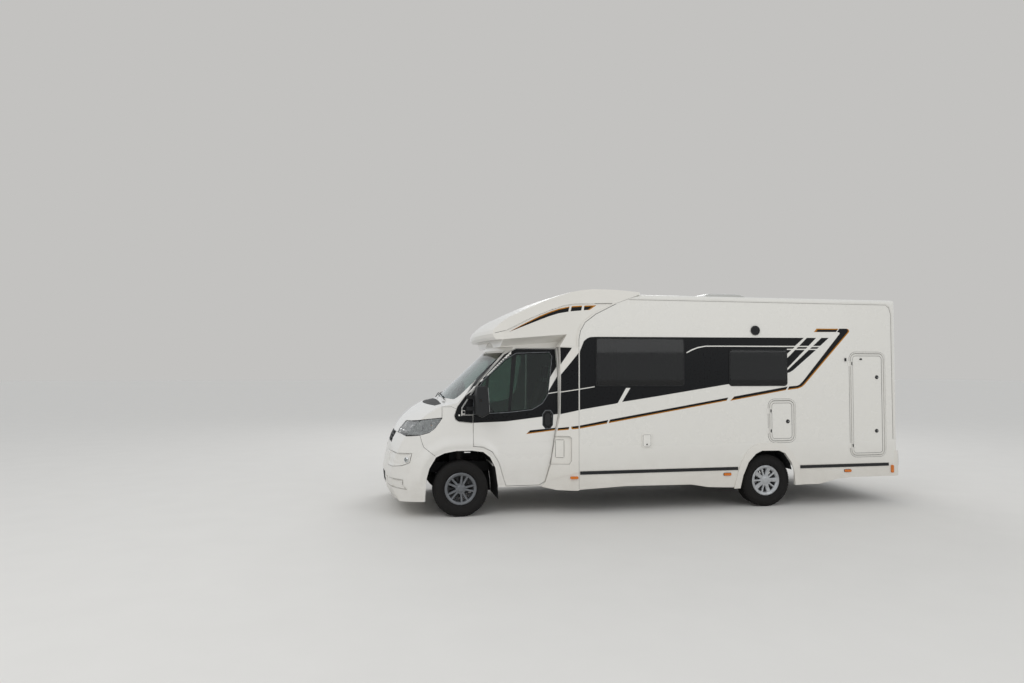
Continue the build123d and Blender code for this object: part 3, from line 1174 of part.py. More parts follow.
# Side markers: amber lamps on the skirts.
# behind low, behind high, height low, height high
MARKERS = ((1344, 1444, 446, 478), (3398, 3498, 433, 465), (5150, 5250, 433, 465), (5861, 5899, 405, 507))
MARKER_PROUD = 14.0
markers = []
for limits in MARKERS:
    with BuildPart() as marker:
        add(side_panel(limits, (WALL_OUTSIDE - MARKER_PROUD, WALL_OUTSIDE + MARKER_PROUD), 14))
        for backing in (skirt.part, fairing_form.part):
            add(backing, mode=Mode.SUBTRACT)
    for side in (-1, 1):
        markers += [to_side(solid, side) for solid in marker.part.solids()]
save(Compound(children=markers), "side_markers")

# Bike carrier: aluminium tube frame on the rear wall and a folding platform of two wheel trays,
# hung on a pivot tube that two ears hold clear of the frame.
CARRIER_Y = 330.0
CARRIER_TUBE = 15.0
CARRIER_STAND_OFF = 62.0
CARRIER_HEIGHT = (1100.0, 2080.0)
PIVOT_REACH = 75.0
PIVOT_HEIGHT = 1165.0
PIVOT_RADIUS = 12.0
EYE_RADIUS = 22.0
TRAY_WIDTH = 90.0
TRAY_DEPTH = 25.0
TRAY_HALF_LENGTH = 520.0
ARM_THICKNESS = 30.0
carrier_face = REAR_FACE + CARRIER_STAND_OFF
pivot_behind = carrier_face + PIVOT_REACH
with BuildPart() as bike_carrier_frame:
    for side in (-1, 1):
        add(rod((carrier_face, side * CARRIER_Y, CARRIER_HEIGHT[0]),
                (carrier_face, side * CARRIER_Y, CARRIER_HEIGHT[1]), CARRIER_TUBE))
        low, high = sorted((side * CARRIER_Y - 20, side * CARRIER_Y + 20))
        for height in (CARRIER_HEIGHT[0] + 200, CARRIER_HEIGHT[1] - 120):
            add(block((REAR_FACE, carrier_face), (low, high), (height - 30, height + 30)))
        low, high = sorted((side * CARRIER_Y - 6, side * CARRIER_Y + 6))
        add(block((carrier_face, pivot_behind + PIVOT_RADIUS + 6), (low, high),
                  (PIVOT_HEIGHT - 24, PIVOT_HEIGHT + 24)))
    for height in (CARRIER_HEIGHT[0] + 25, CARRIER_HEIGHT[1] - 25):
        add(rod((carrier_face, -CARRIER_Y, height), (carrier_face, CARRIER_Y, height),
                CARRIER_TUBE - 3))
    add(rod((pivot_behind, -CARRIER_Y, PIVOT_HEIGHT), (pivot_behind, CARRIER_Y, PIVOT_HEIGHT),
            PIVOT_RADIUS))
save(bike_carrier_frame.part, "bike_carrier_frame")
with BuildPart() as bike_carrier_platform:
    arm_top = PIVOT_HEIGHT + ARM_THICKNESS / 2
    tip = REAR_FACE + CARRIER_REACH
    for y in (60 - CARRIER_Y, CARRIER_Y - 60):
        low, high = (y - 15, y + 15)
        add(block((pivot_behind, tip), (low, high), (arm_top - ARM_THICKNESS, arm_top)))
        add(rod((pivot_behind, low, PIVOT_HEIGHT), (pivot_behind, high, PIVOT_HEIGHT), EYE_RADIUS))
        add(rod((pivot_behind, low - 1, PIVOT_HEIGHT), (pivot_behind, high + 1, PIVOT_HEIGHT),
                PIVOT_RADIUS + BEARING_CLEARANCE), mode=Mode.SUBTRACT)
    for behind in (pivot_behind + 50, tip - TRAY_WIDTH - 20):
        add(block((behind, behind + TRAY_WIDTH), (-TRAY_HALF_LENGTH, TRAY_HALF_LENGTH),
                  (arm_top, arm_top + TRAY_DEPTH)))
        add(block((behind + 10, behind + TRAY_WIDTH - 10),
                  (-TRAY_HALF_LENGTH - 1, TRAY_HALF_LENGTH + 1),
                  (arm_top + 8, arm_top + TRAY_DEPTH + 1)), mode=Mode.SUBTRACT)
save(bike_carrier_platform.part, "bike_carrier_platform")
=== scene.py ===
import math

import bmesh
import bpy
from mathutils import Matrix, Vector
from mathutils.bvhtree import BVHTree
from mathutils.geometry import delaunay_2d_cdt


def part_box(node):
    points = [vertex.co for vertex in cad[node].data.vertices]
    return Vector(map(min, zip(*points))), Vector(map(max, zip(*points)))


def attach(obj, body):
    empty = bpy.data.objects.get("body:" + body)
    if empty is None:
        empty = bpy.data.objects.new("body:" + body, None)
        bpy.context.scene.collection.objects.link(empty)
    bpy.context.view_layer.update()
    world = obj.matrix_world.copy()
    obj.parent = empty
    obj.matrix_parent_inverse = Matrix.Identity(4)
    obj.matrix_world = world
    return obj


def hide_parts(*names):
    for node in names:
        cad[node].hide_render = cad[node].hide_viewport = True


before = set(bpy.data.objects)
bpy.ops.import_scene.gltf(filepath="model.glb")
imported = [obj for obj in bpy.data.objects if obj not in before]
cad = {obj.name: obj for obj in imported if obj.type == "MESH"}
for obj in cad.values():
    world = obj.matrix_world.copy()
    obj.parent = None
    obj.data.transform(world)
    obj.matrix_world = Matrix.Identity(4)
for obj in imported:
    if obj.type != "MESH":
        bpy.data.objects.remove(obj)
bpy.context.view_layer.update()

# Cab body: pressed and spot-welded steel, primed, painted plain white and lacquered. The wings,
# bonnet and door leaves keep their CAD shape.
AXLE_X = -2750  # front axle in the vehicle's frame; lengths behind it are measured from here
WALL_Y = 1150  # outer face of the side walls


def spot(behind, y, height):
    """Place in metres of a point given as mm behind the front axle, across and up."""
    return Vector(((AXLE_X + behind) / 1000, y / 1000, height / 1000))


def to_linear(hex_colour):
    """sRGB hex to the linear colour a socket takes."""
    values = [int(hex_colour[i:i + 2], 16) / 255 for i in (1, 3, 5)]
    return [v / 12.92 if v <= 0.04045 else ((v + 0.055) / 1.055) ** 2.4 for v in values] + [1.0]


def add_node(material, kind, **settings):
    """Adds one shader node, with its properties, input values and links."""
    node = material.node_tree.nodes.new(f"ShaderNode{kind}")
    for name, value in settings.items():
        if name.islower() and hasattr(node, name):
            setattr(node, name, value)
            continue
        socket = node.inputs[int(name[5:]) if name[:5] == "input" else name.replace("_", " ")]
        if isinstance(value, bpy.types.NodeSocket):
            material.node_tree.links.new(value, socket)
        else:
            socket.default_value = value
    return node


def new_material(name, **sockets):
    """A material, its surface shader, and the place on the object that its patterns start from."""
    material = bpy.data.materials.new(name)
    material.use_nodes = True
    material.node_tree.nodes.clear()
    shader = add_node(material, "BsdfPrincipled", **sockets)
    add_node(material, "OutputMaterial", Surface=shader.outputs[0])
    return material, shader, add_node(material, "TexCoord").outputs["Object"]


def feed(material, shader, **outputs):
    """Links node outputs to sockets of the surface shader."""
    for name, output in outputs.items():
        material.node_tree.links.new(output, shader.inputs[name.replace("_", " ")])


ROAD_DUST = "#A09788"
DUST_TOP, DUST_FOOT = 0.85, 0.2


def white_finish(name, colour, roughness, coat, wave_mm, wave_depth_mm):
    """Plain white outer finish: a slow waviness that bends reflections, and road dust low down."""
    material, shader, place = new_material(name, Coat_Weight=coat, Coat_Roughness=0.04, IOR=1.5)
    height = add_node(material, "SeparateXYZ", Vector=place).outputs["Z"]
    cloud = add_node(material, "TexNoise", Vector=place, Scale=5.0, Detail=6.0,
                     Roughness=0.65).outputs[0]
    low = add_node(material, "MapRange", Value=height, From_Min=DUST_TOP,
                   From_Max=DUST_FOOT, To_Min=0.03, To_Max=0.5).outputs[0]
    dust = add_node(material, "Math", operation="MULTIPLY", input0=low,
                    input1=cloud).outputs[0]
    tint = add_node(material, "Mix", data_type="RGBA", input0=dust,
                    input6=to_linear(colour), input7=to_linear(ROAD_DUST)).outputs[2]
    dull = add_node(material, "MapRange", Value=dust, From_Min=0.0, From_Max=0.4,
                    To_Min=roughness, To_Max=0.6).outputs[0]
    wave = add_node(material, "TexNoise", Vector=place, Scale=1000 / wave_mm,
                    Detail=1.0).outputs[0]
    bump = add_node(material, "Bump", Height=wave, Distance=wave_depth_mm / 1000,
                    Strength=1.0).outputs[0]
    feed(material, shader, Base_Color=tint, Roughness=dull, Normal=bump)
    return material


# Two-layer car paint over steel: the smoothest white on the vehicle, with mirror-like lacquer.
white_car_paint = white_finish("white_car_paint", "#E6E4DF", 0.22, 0.6, 420, 0.3)


def dress(node, material, fold_mm=0.0):
    """Gives a CAD node its material and, where an edge is folded or moulded, a rounded edge."""
    piece = cad[node]
    piece.data.materials.clear()
    piece.data.materials.append(material)
    if fold_mm:
        weld = piece.modifiers.new("joined_facets", "WELD")
        weld.merge_threshold = 0.00002
        fold = piece.modifiers.new("rounded_edge", "BEVEL")
        fold.width = fold_mm / 1000
        fold.segments = 2
        fold.limit_method = "ANGLE"
        fold.angle_limit = math.radians(50)
        fold.harden_normals = True
    return piece


for node in ("cab_shell", "bonnet", "left_cab_door", "right_cab_door"):
    dress(node, white_car_paint)


def skin_of(*names):
    """Search tree of the CAD skins that something lies on."""
    vertices, faces = [], []
    for name in names:
        first = len(vertices)
        vertices += [v.co.copy() for v in cad[name].data.vertices]
        faces += [[first + i for i in p.vertices] for p in cad[name].data.polygons]
    return BVHTree.FromPolygons(vertices, faces)


def hang(name, data):
    """Makes an object of mesh, curve, lamp or camera data, in the scene."""
    made = bpy.data.objects.new(name, data)
    bpy.context.scene.collection.objects.link(made)
    return made


def add_piece(name, bm, material, body, smooth=35):
    """Makes an object of the finished mesh and hangs it on its body."""
    mesh = bpy.data.meshes.new(name)
    bm.to_mesh(mesh)
    bm.free()
    mesh.materials.append(material)
    mesh.polygons.foreach_set("use_smooth", [True] * len(mesh.polygons))
    mesh.set_sharp_from_angle(angle=math.radians(smooth))
    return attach(hang(name, mesh), body)


def is_inside(point, outline):
    """Whether a point lies inside a closed outline."""
    inside = False
    for (x1, y1), (x2, y2) in zip(outline, outline[1:] + outline[:1]):
        if (y1 > point[1]) != (y2 > point[1]):
            if point[0] < (x2 - x1) * (point[1] - y1) / (y2 - y1) + x1:
                inside = not inside
    return inside


def cut_sheet(inside, outside=(), step=None):
    """Triangles of a flat sheet that lie in every inside outline and in no outside one."""
    inside = [list(outline) for outline in inside]
    outside = [list(outline) for outline in outside]
    points, edges = [], []
    for outline in inside + outside:
        dense = []
        for (x1, y1), (x2, y2) in zip(outline, outline[1:] + outline[:1]):
            count = max(1, math.ceil(math.dist((x1, y1), (x2, y2)) / step)) if step else 1
            dense += [(x1 + (x2 - x1) * i / count, y1 + (y2 - y1) * i / count)
                      for i in range(count)]
        first = len(points)
        points += dense
        edges += [(first + i, first + (i + 1) % len(dense)) for i in range(len(dense))]
    if step:
        low = [min(p[i] for p in inside[0]) for i in (0, 1)]
        high = [max(p[i] for p in inside[0]) for i in (0, 1)]
        for column in range(1, math.ceil((high[0] - low[0]) / step)):
            for row in range(1, math.ceil((high[1] - low[1]) / step)):
                point = (low[0] + column * step, low[1] + row * step)
                if is_inside(point, inside[0]):
                    points.append(point)
    found = delaunay_2d_cdt([Vector(p) for p in points], edges, [], 0, 0.01)
    flat, triangles = found[0], found[2]
    kept = []
    for triangle in triangles:
        middle = [sum(flat[i][k] for i in triangle) / len(triangle) for k in (0, 1)]
        if all(is_inside(middle, outline) for outline in inside) and not any(
                is_inside(middle, outline) for outline in outside):
            kept.append(triangle)
    return [tuple(p) for p in flat], kept


RAY_START = 2000
GAP_REACH = 9  # a joint between panels is narrower than twice this
GAP_DEPTH = 0.02  # in metres: what lies deeper than this beside its neighbours is a gap
BESIDE_GAP = ((0, 0), (GAP_REACH, 0), (-GAP_REACH, 0), (0, GAP_REACH), (0, -GAP_REACH))
OFF_THE_SKIN = [(12 * count, -5 * count) for count in range(1, 13)]


def lay(skin, side, behind, height):
    """Point of the skin seen from the side, taken from beside a gap that the ray falls into."""

    def seen(shift, rise):
        start = spot(behind + shift, side * RAY_START, height + rise)
        hit = skin.ray_cast(start, Vector((0, -side, 0)))[0]
        return None if hit is None else hit.y * side

    depth = None
    for shift, rise in BESIDE_GAP:
        found = seen(shift, rise)
        if found is not None and (depth is None or found > depth + GAP_DEPTH):
            depth = found
    for shift, rise in OFF_THE_SKIN:
        if depth is None:
            depth = seen(shift, rise)
    return spot(behind, side * (WALL_Y if depth is None else depth * 1000), height)


def film(name, material, body, skin, inside, outside=(), side=-1, lift=0.3, thick=0.4, step=None,
         swell=None):
    """Sheet cut to outlines of (mm behind the front axle, mm high) and laid on a side of the body.

    It floats by the lift, has a rim down to it all round, and rises by swell(behind, height)."""
    flat, triangles = cut_sheet(inside, outside, step)
    bm = bmesh.new()
    used = sorted({i for triangle in triangles for i in triangle})
    placed = {i: bm.verts.new(lay(skin, side, *flat[i])) for i in used}
    for triangle in triangles:
        face = bm.faces.new([placed[i] for i in triangle])
        face.normal_update()
        if face.normal.y * side < 0:
            face.normal_flip()
    bm.normal_update()
    ways = {vertex: vertex.normal.copy() for vertex in bm.verts}
    border = [loop for face in bm.faces for loop in face.loops if loop.edge.is_boundary]
    rims = [(loop.link_loop_next.vert, loop.vert) for loop in border]
    foot = {}
    for vertex in [vertex for rim in rims for vertex in rim]:
        if vertex not in foot:
            foot[vertex] = bm.verts.new(vertex.co + ways[vertex] * lift / 1000)
    rise = {placed[i]: swell(*flat[i]) if swell else 0 for i in placed}
    for vertex, way in ways.items():
        vertex.co += way * (lift + thick + rise[vertex]) / 1000
    for first, second in rims:
        bm.faces.new((first, second, foot[second], foot[first]))
    return add_piece(name, bm, material, body)


def ribbon(points, width):
    """Outline of a line of one width along the points."""
    left, right = [], []
    for i, (x, y) in enumerate(points):
        before, after = points[max(i - 1, 0)], points[min(i + 1, len(points) - 1)]
        along = Vector((after[0] - before[0], after[1] - before[1])).normalized()
        left.append((x - along.y * width / 2, y + along.x * width / 2))
        right.append((x + along.y * width / 2, y - along.x * width / 2))
    return left + right[::-1]


def grown(outline, amount):
    """The outline moved outwards by the amount, or inwards where that is negative."""
    outline = list(outline)
    area = sum(x1 * y2 - x2 * y1 for (x1, y1), (x2, y2) in zip(outline, outline[1:] + outline[:1]))
    turn = math.copysign(1, area)
    moved = []
    for before, here, after in zip(outline[-1:] + outline[:-1], outline, outline[1:] + outline[:1]):
        normals = [Vector((b[1] - a[1], a[0] - b[0])).normalized()
                   for a, b in ((before, here), (here, after))]
        way = normals[0] + normals[1]
        way *= 2 * turn * amount / max(way.length_squared, 0.4)
        moved.append((here[0] + way.x, here[1] + way.y))
    return moved


# Body joints and creases: thin dark lines where two panels meet, drawn as the strip of soft sealer
# that fills the joint, and the folds pressed into the door leaves.
def moulded_plastic(name, colour, roughness, grain_mm, depth_mm, metallic=0.0):
    """Moulded or painted surface with the fine grain of its tool, and patches that are duller."""
    material, shader, place = new_material(name, IOR=1.5, Metallic=metallic,
                                           Specular_IOR_Level=0.35)
    grain = add_node(material, "TexVoronoi", Vector=place, Scale=1000 / grain_mm).outputs[0]
    cloud = add_node(material, "TexNoise", Vector=place, Scale=12.0, Detail=4.0).outputs[0]
    base = to_linear(colour)
    tint = add_node(material, "Mix", data_type="RGBA", input0=cloud, input6=base,
                    input7=[c * 1.25 for c in base[:3]] + [1.0]).outputs[2]
    dull = add_node(material, "MapRange", Value=cloud, From_Min=0.3, From_Max=0.7,
                    To_Min=roughness - 0.05, To_Max=roughness + 0.08).outputs[0]
    bump = add_node(material, "Bump", Height=grain, Distance=depth_mm / 1000,
                    Strength=0.6).outputs[0]
    feed(material, shader, Base_Color=tint, Roughness=dull, Normal=bump)
    return material


# Polyurethane sealer, tooled by hand: it stays matt, and dark where the joint is deep.
dark_sealer = moulded_plastic("dark_joint_sealer", "#33312E", 0.7, 3.0, 0.1)
# The grey one also carries painted shade: under the roof edge rails and round the fuel filler
# recess.
grey_sealer_and_shade = moulded_plastic("grey_joint_sealer_and_painted_shade", "#8D8B86", 0.6, 3.0, 0.1)
wing_skin = skin_of("cab_shell", "bonnet", "front_bumper")
door_skins = {-1: skin_of("left_cab_door"), 1: skin_of("right_cab_door")}
SIDE_NAMES = {-1: "left", 1: "right"}
# name, width, line as mm behind the front axle and mm high
WING_JOINTS = (
    ("bumper_joint", 4, ((-660, 1002), (-500, 1002), (-470, 900), (-452, 858), (-312, 748))),
    ("wing_top_joint", 3, ((8, 1287), (-60, 1318), (-120, 1345), (-232, 1345))),
)
DOOR_CREASES = (
    ("door_crease", 5, ((180, 905), (420, 880), (1150, 905))),
    ("door_lower_panel", 5, ((520, 600), (560, 540), (1040, 540), (1085, 600), (1108, 700),
                             (1040, 745), (560, 745), (500, 690), (520, 600))),
)
for side, name in SIDE_NAMES.items():
    for joint, width, line in WING_JOINTS:
        film(f"{name}_{joint}", dark_sealer, "vehicle", wing_skin, [ribbon(line, width)], side=side,
             lift=0.2, thick=0.5, step=25)
    for crease, width, line in DOOR_CREASES:
        film(f"{name}_{crease}", white_car_paint, f"{name}_cab_door", door_skins[side],
             [ribbon(line, width)], side=side, lift=0.0, thick=1.6, step=40)

# Wheel arch flare: a soft lip pressed into the wing and the door leaf, in the cab's own paint. It
# swells from the bumper over the arch onto the door, and fades out towards the sill.
FLARE_INNER = (
    (-455, 345), (-437, 463), (-401, 606), (-314, 748), (-204, 799), (-53, 823), (131, 823),
    (279, 803), (372, 731), (439, 597), (473, 390),
)
FLARE_OUTER = (
    (-640, 345), (-648, 480), (-600, 640), (-520, 790), (-420, 900), (-232, 996), (0, 1024),
    (146, 1020), (300, 985), (400, 920), (470, 840), (520, 740), (548, 600), (565, 390),
)
FLARE_HEIGHT = 16
FLARE_FOOT, FLARE_FADE = 345, 120
FLARE_SKEW, FLARE_SOFTNESS = 1.6, 1.5
DOOR_LEAF = [
    (150, 1245), (10, 1245), (10, 1330), (240, 1665), (560, 1995), (700, 2062), (1205, 2062),
    (1222, 1700), (1218, 1238), (1170, 981), (1118, 640), (1046, 410), (975, 368), (560, 368),
    (520, 480), (466, 656), (384, 790), (264, 850), (150, 860),
]


def reach(point, line):
    """Distance of a point from a line of stretches."""
    best = 1e9
    for (x1, y1), (x2, y2) in zip(line, line[1:]):
        along = ((point[0] - x1) * (x2 - x1) + (point[1] - y1) * (y2 - y1)
                 ) / math.dist((x1, y1), (x2, y2)) ** 2
        along = min(1, max(0, along))
        best = min(best, math.dist(point, (x1 + (x2 - x1) * along, y1 + (y2 - y1) * along)))
    return best


def flare_swell(x, z):
    """Height of the flare, from nothing on its outer line to its crown near the arch and back."""
    inner, outer = reach((x, z), FLARE_INNER), reach((x, z), FLARE_OUTER)
    fade = min(1, max(0, z - FLARE_FOOT) / FLARE_FADE)
    share = outer / (inner + outer + 1e-6)
    return FLARE_HEIGHT * fade * math.sin(math.pi * share ** FLARE_SKEW) ** FLARE_SOFTNESS


FLARE = list(FLARE_OUTER) + list(FLARE_INNER[::-1])
SHUT_GAP = 4
for side, name in SIDE_NAMES.items():
    for part, body, skin, inside, outside in (
            ("wing", "vehicle", wing_skin, [FLARE],
             [grown(DOOR_LEAF, SHUT_GAP), ribbon(WING_JOINTS[0][2], 5)]),
            ("door", f"{name}_cab_door", door_skins[side],
             [FLARE, grown(DOOR_LEAF, -SHUT_GAP)], [])):
        film(f"{name}_{part}_flare", white_car_paint, body, skin, inside, outside, side, lift=0.1,
             thick=0.2, step=14, swell=flare_swell)

# Overcab moulding, side fairings, skirts and rear bumper: hand-laid GRP with white gelcoat, glued
# and riveted to the body. Gelcoat is a little creamier and duller than paint.
white_gelcoat = white_finish("white_gelcoat", "#E4E1DA", 0.3, 0.35, 260, 0.5)
for node in ("overcab_moulding", "side_fairings", "skirts", "rear_bumper"):
    dress(node, white_gelcoat)

# Joints of the overcab moulding: a sealed seam under its shoulder, a riveted flange that slants
# down to the wall, and an open joint on the wall's front edge.
seam_skin = skin_of("overcab_moulding", "left_wall", "right_wall", "side_fairings", "roof_panel",
                    "skirts")
OVERCAB_SEAM = ((400, 2250), (528, 2279), (643, 2337), (845, 2439), (1078, 2535), (1255, 2596),
                (1403, 2623), (1895, 2637))
OVERCAB_FLANGE = ((1948, 2634), (1678, 2497), (1538, 2392), (1476, 2283), (1456, 2180),
                  (1456, 2084))
FLANGE_EDGE = [(x - 14, z + 10) for x, z in OVERCAB_FLANGE]
# name, width, line, material, thickness
OVERCAB_JOINTS = (
    ("shoulder_seam", 5, OVERCAB_SEAM, dark_sealer, 0.6),
    ("overcab_flange", 14, FLANGE_EDGE, white_gelcoat, 4.0),
    ("flange_joint", 5, OVERCAB_FLANGE, dark_sealer, 1.0),
    ("overcab_top_joint", 4, ((1952, 2640), (2262, 2755)), grey_sealer_and_shade, 1.0),
    ("wall_front_joint", 4, ((1455, 2080), (1456, 320)), grey_sealer_and_shade, 0.6),
)
for side, name in SIDE_NAMES.items():
    for joint, width, line, material, thick in OVERCAB_JOINTS:
        film(f"{name}_{joint}", material, "vehicle", seam_skin, [ribbon(line, width)], side=side,
             lift=0.1, thick=thick, step=30)

# Fuel filler recess and the lip along the foot of the fairing: edges of the moulding, where the
# recess's edge is a grey line of painted shade, and the joint round the hinged flap.
RECESS = [(1176, 970), (1338, 967), (1360, 945), (1360, 672), (1332, 630), (1104, 630), (1148, 800)]
FLAP = [(1168, 700), (1282, 700), (1282, 932), (1168, 932)]
FOOT_LIP = [(1096, 452), (1409, 545), (1450, 544), (1450, 520), (1412, 520), (1092, 424)]
fairing_skin = skin_of("side_fairings")
for side, name in SIDE_NAMES.items():
    for part, material, outer, inner, lift, thick, step in (
            ("recess_edge", grey_sealer_and_shade, grown(RECESS, 6), [grown(RECESS, 2)], 0.2, 0.6, 20),
            ("flap_joint", dark_sealer, grown(FLAP, -4), [grown(FLAP, -8)], 0.2, 0.5, 20),
            ("foot_lip", white_gelcoat, FOOT_LIP, [], 0.1, 6.0, 30)):
        film(f"{name}_{part}", material, "vehicle", fairing_skin, [outer], inner, side, lift, thick,
             step)

# Front bumper: one injection moulding of polypropylene clipped under the wings, painted with the
# cab but a little duller, because plastic takes a softened paint.
white_bumper_paint = white_finish("white_bumper_paint", "#E3E1DC", 0.27, 0.45, 180, 0.25)
dress("front_bumper", white_bumper_paint)

# Bumper pockets: inserts in the bumper's colour, with a small round fog lamp at the outer end. Its
# reflector is plastic metallised under vacuum, and its lens clear polycarbonate.
# Grained black polypropylene, unpainted: the grain breaks highlights into a dull grey sheen.
black_grained_plastic = moulded_plastic("black_grained_polypropylene", "#1C1D1E", 0.55, 2.2, 0.12)
bumper_skin = skin_of("front_bumper")
FOG_POCKET = ((-900, 600), (-700, 632), (-616, 672), (-590, 790), (-900, 781))
LOWER_POCKET = ((-900, 376), (-872, 372), (-646, 346), (-694, 404), (-696, 466), (-900, 478))
POCKET_FRONT = -880
for side, name in SIDE_NAMES.items():
    for pocket, outline in (("fog_pocket", FOG_POCKET), ("lower_pocket", LOWER_POCKET)):
        inset = grown([(max(x, POCKET_FRONT), z) for x, z in outline], -7)
        film(f"{name}_{pocket}_insert", white_bumper_paint, "vehicle", bumper_skin, [inset],
             side=side, lift=0.3, thick=2.5, step=20)


def turned(bm, profile, centre, way, steps=40, across=None):
    """Rings of a profile of (mm along the axis, mm radius) turned about an axis."""
    way = Vector(way).normalized()
    across = across or way.orthogonal().normalized()
    upright = way.cross(across)
    rings = []
    for along, radius in profile:
        ring = []
        for step in range(steps):
            angle = 2 * math.pi * step / steps
            out = across * math.cos(angle) + upright * math.sin(angle)
            ring.append(bm.verts.new(centre + (way * along + out * radius) / 1000))
        rings.append(ring)
    for first, second in zip(rings, rings[1:]):
        for i in range(steps):
            j = (i + 1) % steps
            bm.faces.new((first[i], first[j], second[j], second[i]))
    return rings


def turned_piece(name, material, body, profile, centre, way, steps=40):
    """Lathe-turned piece, closed where its profile reaches the axis."""
    bm = bmesh.new()
    turned(bm, profile, centre, way, steps)
    bmesh.ops.remove_doubles(bm, verts=bm.verts, dist=0.00001)
    bmesh.ops.recalc_face_normals(bm, faces=bm.faces)
    return add_piece(name, bm, material, body)


# Vacuum-metallised plastic: a bright mirror with a slight haze.
chrome, shader, place = new_material("vacuum_metallised_reflector", Metallic=1.0,
                                     Base_Color=to_linear("#D8DADC"))
haze = add_node(chrome, "TexNoise", Scale=30.0, Vector=place).outputs[0]
dull = add_node(chrome, "MapRange", Value=haze, From_Min=0.3, From_Max=0.7, To_Min=0.08,
                To_Max=0.2).outputs[0]
feed(chrome, shader, Roughness=dull)


SHADE_BAND = "#6B6A4C"


def clear_glass(name, colour, dusty, band=None):
    """Clear pane with wiped dust on it; a band gives the heights between which it gets shaded."""
    material, shader, place = new_material(name, Transmission_Weight=1.0, IOR=1.45)
    dust = add_node(material, "TexNoise", Vector=place, Scale=9.0, Detail=5.0).outputs[0]
    dull = add_node(material, "MapRange", Value=dust, From_Min=0.35, From_Max=0.75,
                    To_Min=0.0, To_Max=dusty).outputs[0]
    shade, shaded = dust, [c * 0.85 for c in to_linear(colour)[:3]] + [1.0]
    if band:
        height = add_node(material, "SeparateXYZ", Vector=place).outputs["Z"]
        shade = add_node(material, "MapRange", Value=height, From_Min=band[0],
                         From_Max=band[1], To_Min=0.0, To_Max=1.0).outputs[0]
        shaded = to_linear(SHADE_BAND)
    tint = add_node(material, "Mix", data_type="RGBA", input0=shade,
                    input6=to_linear(colour), input7=shaded).outputs[2]
    feed(material, shader, Base_Color=tint, Roughness=dull)
    return material


# Hard-coated polycarbonate, clear, with a film of road dust.
clear_polycarbonate = clear_glass("clear_polycarbonate", "#EEF1F1", 0.04)
FOG_LAMP = (-655, 706)
FOG_RADIUS = 24
for side, name in SIDE_NAMES.items():
    radius = FOG_RADIUS
    middle = lay(bumper_skin, side, *FOG_LAMP)
    way = Vector((-0.62, side * 0.78, 0))
    turned_piece(f"{name}_fog_reflector", chrome, "vehicle",
                 ((0, 0), (2, 12), (9, radius - 6), (16, radius), (13, radius + 5), (0, radius + 6)),
                 middle, way)
    turned_piece(f"{name}_fog_lens", clear_polycarbonate, "vehicle",
                 ((19, 0), (18, 16), (15, radius), (13, radius), (16, 15), (17, 0)), middle, way)

# Radiator grille and scuttle: black polypropylene mouldings clipped into the bumper and under the
# bonnet's rear edge.
for node in ("radiator_grille", "cowl_panel"):
    dress(node, black_grained_plastic)

# Headlamps: a clear hard-coated lens over a grey housing with three metallised bowls. Each has a
# bulb, and the one in the outer bowl is amber.
LAMP_SIDE = [(-660, 1132), (-640, 1148), (-480, 1188), (-232, 1210), (-262, 1160), (-318, 1085),
             (-392, 1030), (-520, 998), (-660, 1000)]
# Metallised grey polycarbonate, satin: it lifts the dark space between the bowls.
lamp_grey = moulded_plastic("grey_lamp_housing", "#B4B6B8", 0.25, 5.0, 0.05, 0.5)
lamp_skin = skin_of("headlamps")
dress("headlamps", clear_polycarbonate)
amber_glass = clear_glass("amber_bulb_glass", "#E08A2A", 0.05)
LAMP_BOWLS = (("main", -600, 1088, 40), ("side", -490, 1098, 36), ("turn", -380, 1130, 26))
for side, name in SIDE_NAMES.items():
    film(f"{name}_headlamp_housing", lamp_grey, "vehicle", lamp_skin, [grown(LAMP_SIDE, -4)],
         side=side, lift=-14, thick=1.5, step=14)
    for bowl, behind, height, radius in LAMP_BOWLS:
        middle = lay(lamp_skin, side, behind, height) + Vector((0.010, -side * 0.010, -0.004))
        way = (-0.75, side * 0.65, 0.12)
        turned_piece(f"{name}_{bowl}_reflector", chrome, "vehicle",
                     ((-12, 0), (-11, radius * 0.35), (-8, radius * 0.7), (-2, radius),
                      (-4, radius + 2)), middle, way)
        turned_piece(f"{name}_{bowl}_bulb", amber_glass if bowl == "turn" else clear_polycarbonate,
                     "vehicle", ((-12, 6), (-5, 6), (-2, 3), (-1, 0)), middle, way, 16)

# Windscreen and side panes: laminated glass bonded into the cab shell, faintly blue-green and with
# a shaded band at its head, and tempered glass in the doors, which is greener.
windscreen_glass = clear_glass("laminated_windscreen_glass", "#BFD2D2", 0.05, (1.90, 1.94))
side_glass = clear_glass("green_tempered_glass", "#768F84", 0.05)
dress("windscreen", windscreen_glass)
for node in ("left_cab_door_glass", "right_cab_door_glass"):
    dress(node, side_glass)

# Cab door and fairing decor: gloss black film round the side glass and across the fairing, crossed
# by a slanted bar and a thin line left white, with a narrow white edge at every shut line.
def cast_vinyl(name, colour, roughness, fleck):
    """Smooth film with the faint mottling of its glue bed."""
    material, shader, place = new_material(name, Metallic=fleck, IOR=1.46, Specular_IOR_Level=0.2)
    mottle = add_node(material, "TexNoise", Vector=place, Scale=60.0, Detail=4.0).outputs[0]
    tone = add_node(material, "MapRange", Value=mottle, From_Min=0.3, From_Max=0.7,
                    To_Min=0.85, To_Max=1.15).outputs[0]
    tint = add_node(material, "Mix", data_type="RGBA", blend_type="MULTIPLY", input0=1.0,
                    input6=to_linear(colour), input7=tone).outputs[2]
    dull = add_node(material, "MapRange", Value=mottle, From_Min=0.3, From_Max=0.7,
                    To_Min=roughness * 0.85, To_Max=roughness * 1.15).outputs[0]
    bump = add_node(material, "Bump", Height=mottle, Distance=0.0002,
                    Strength=0.5).outputs[0]
    feed(material, shader, Base_Color=tint, Roughness=dull, Normal=bump)
    return material


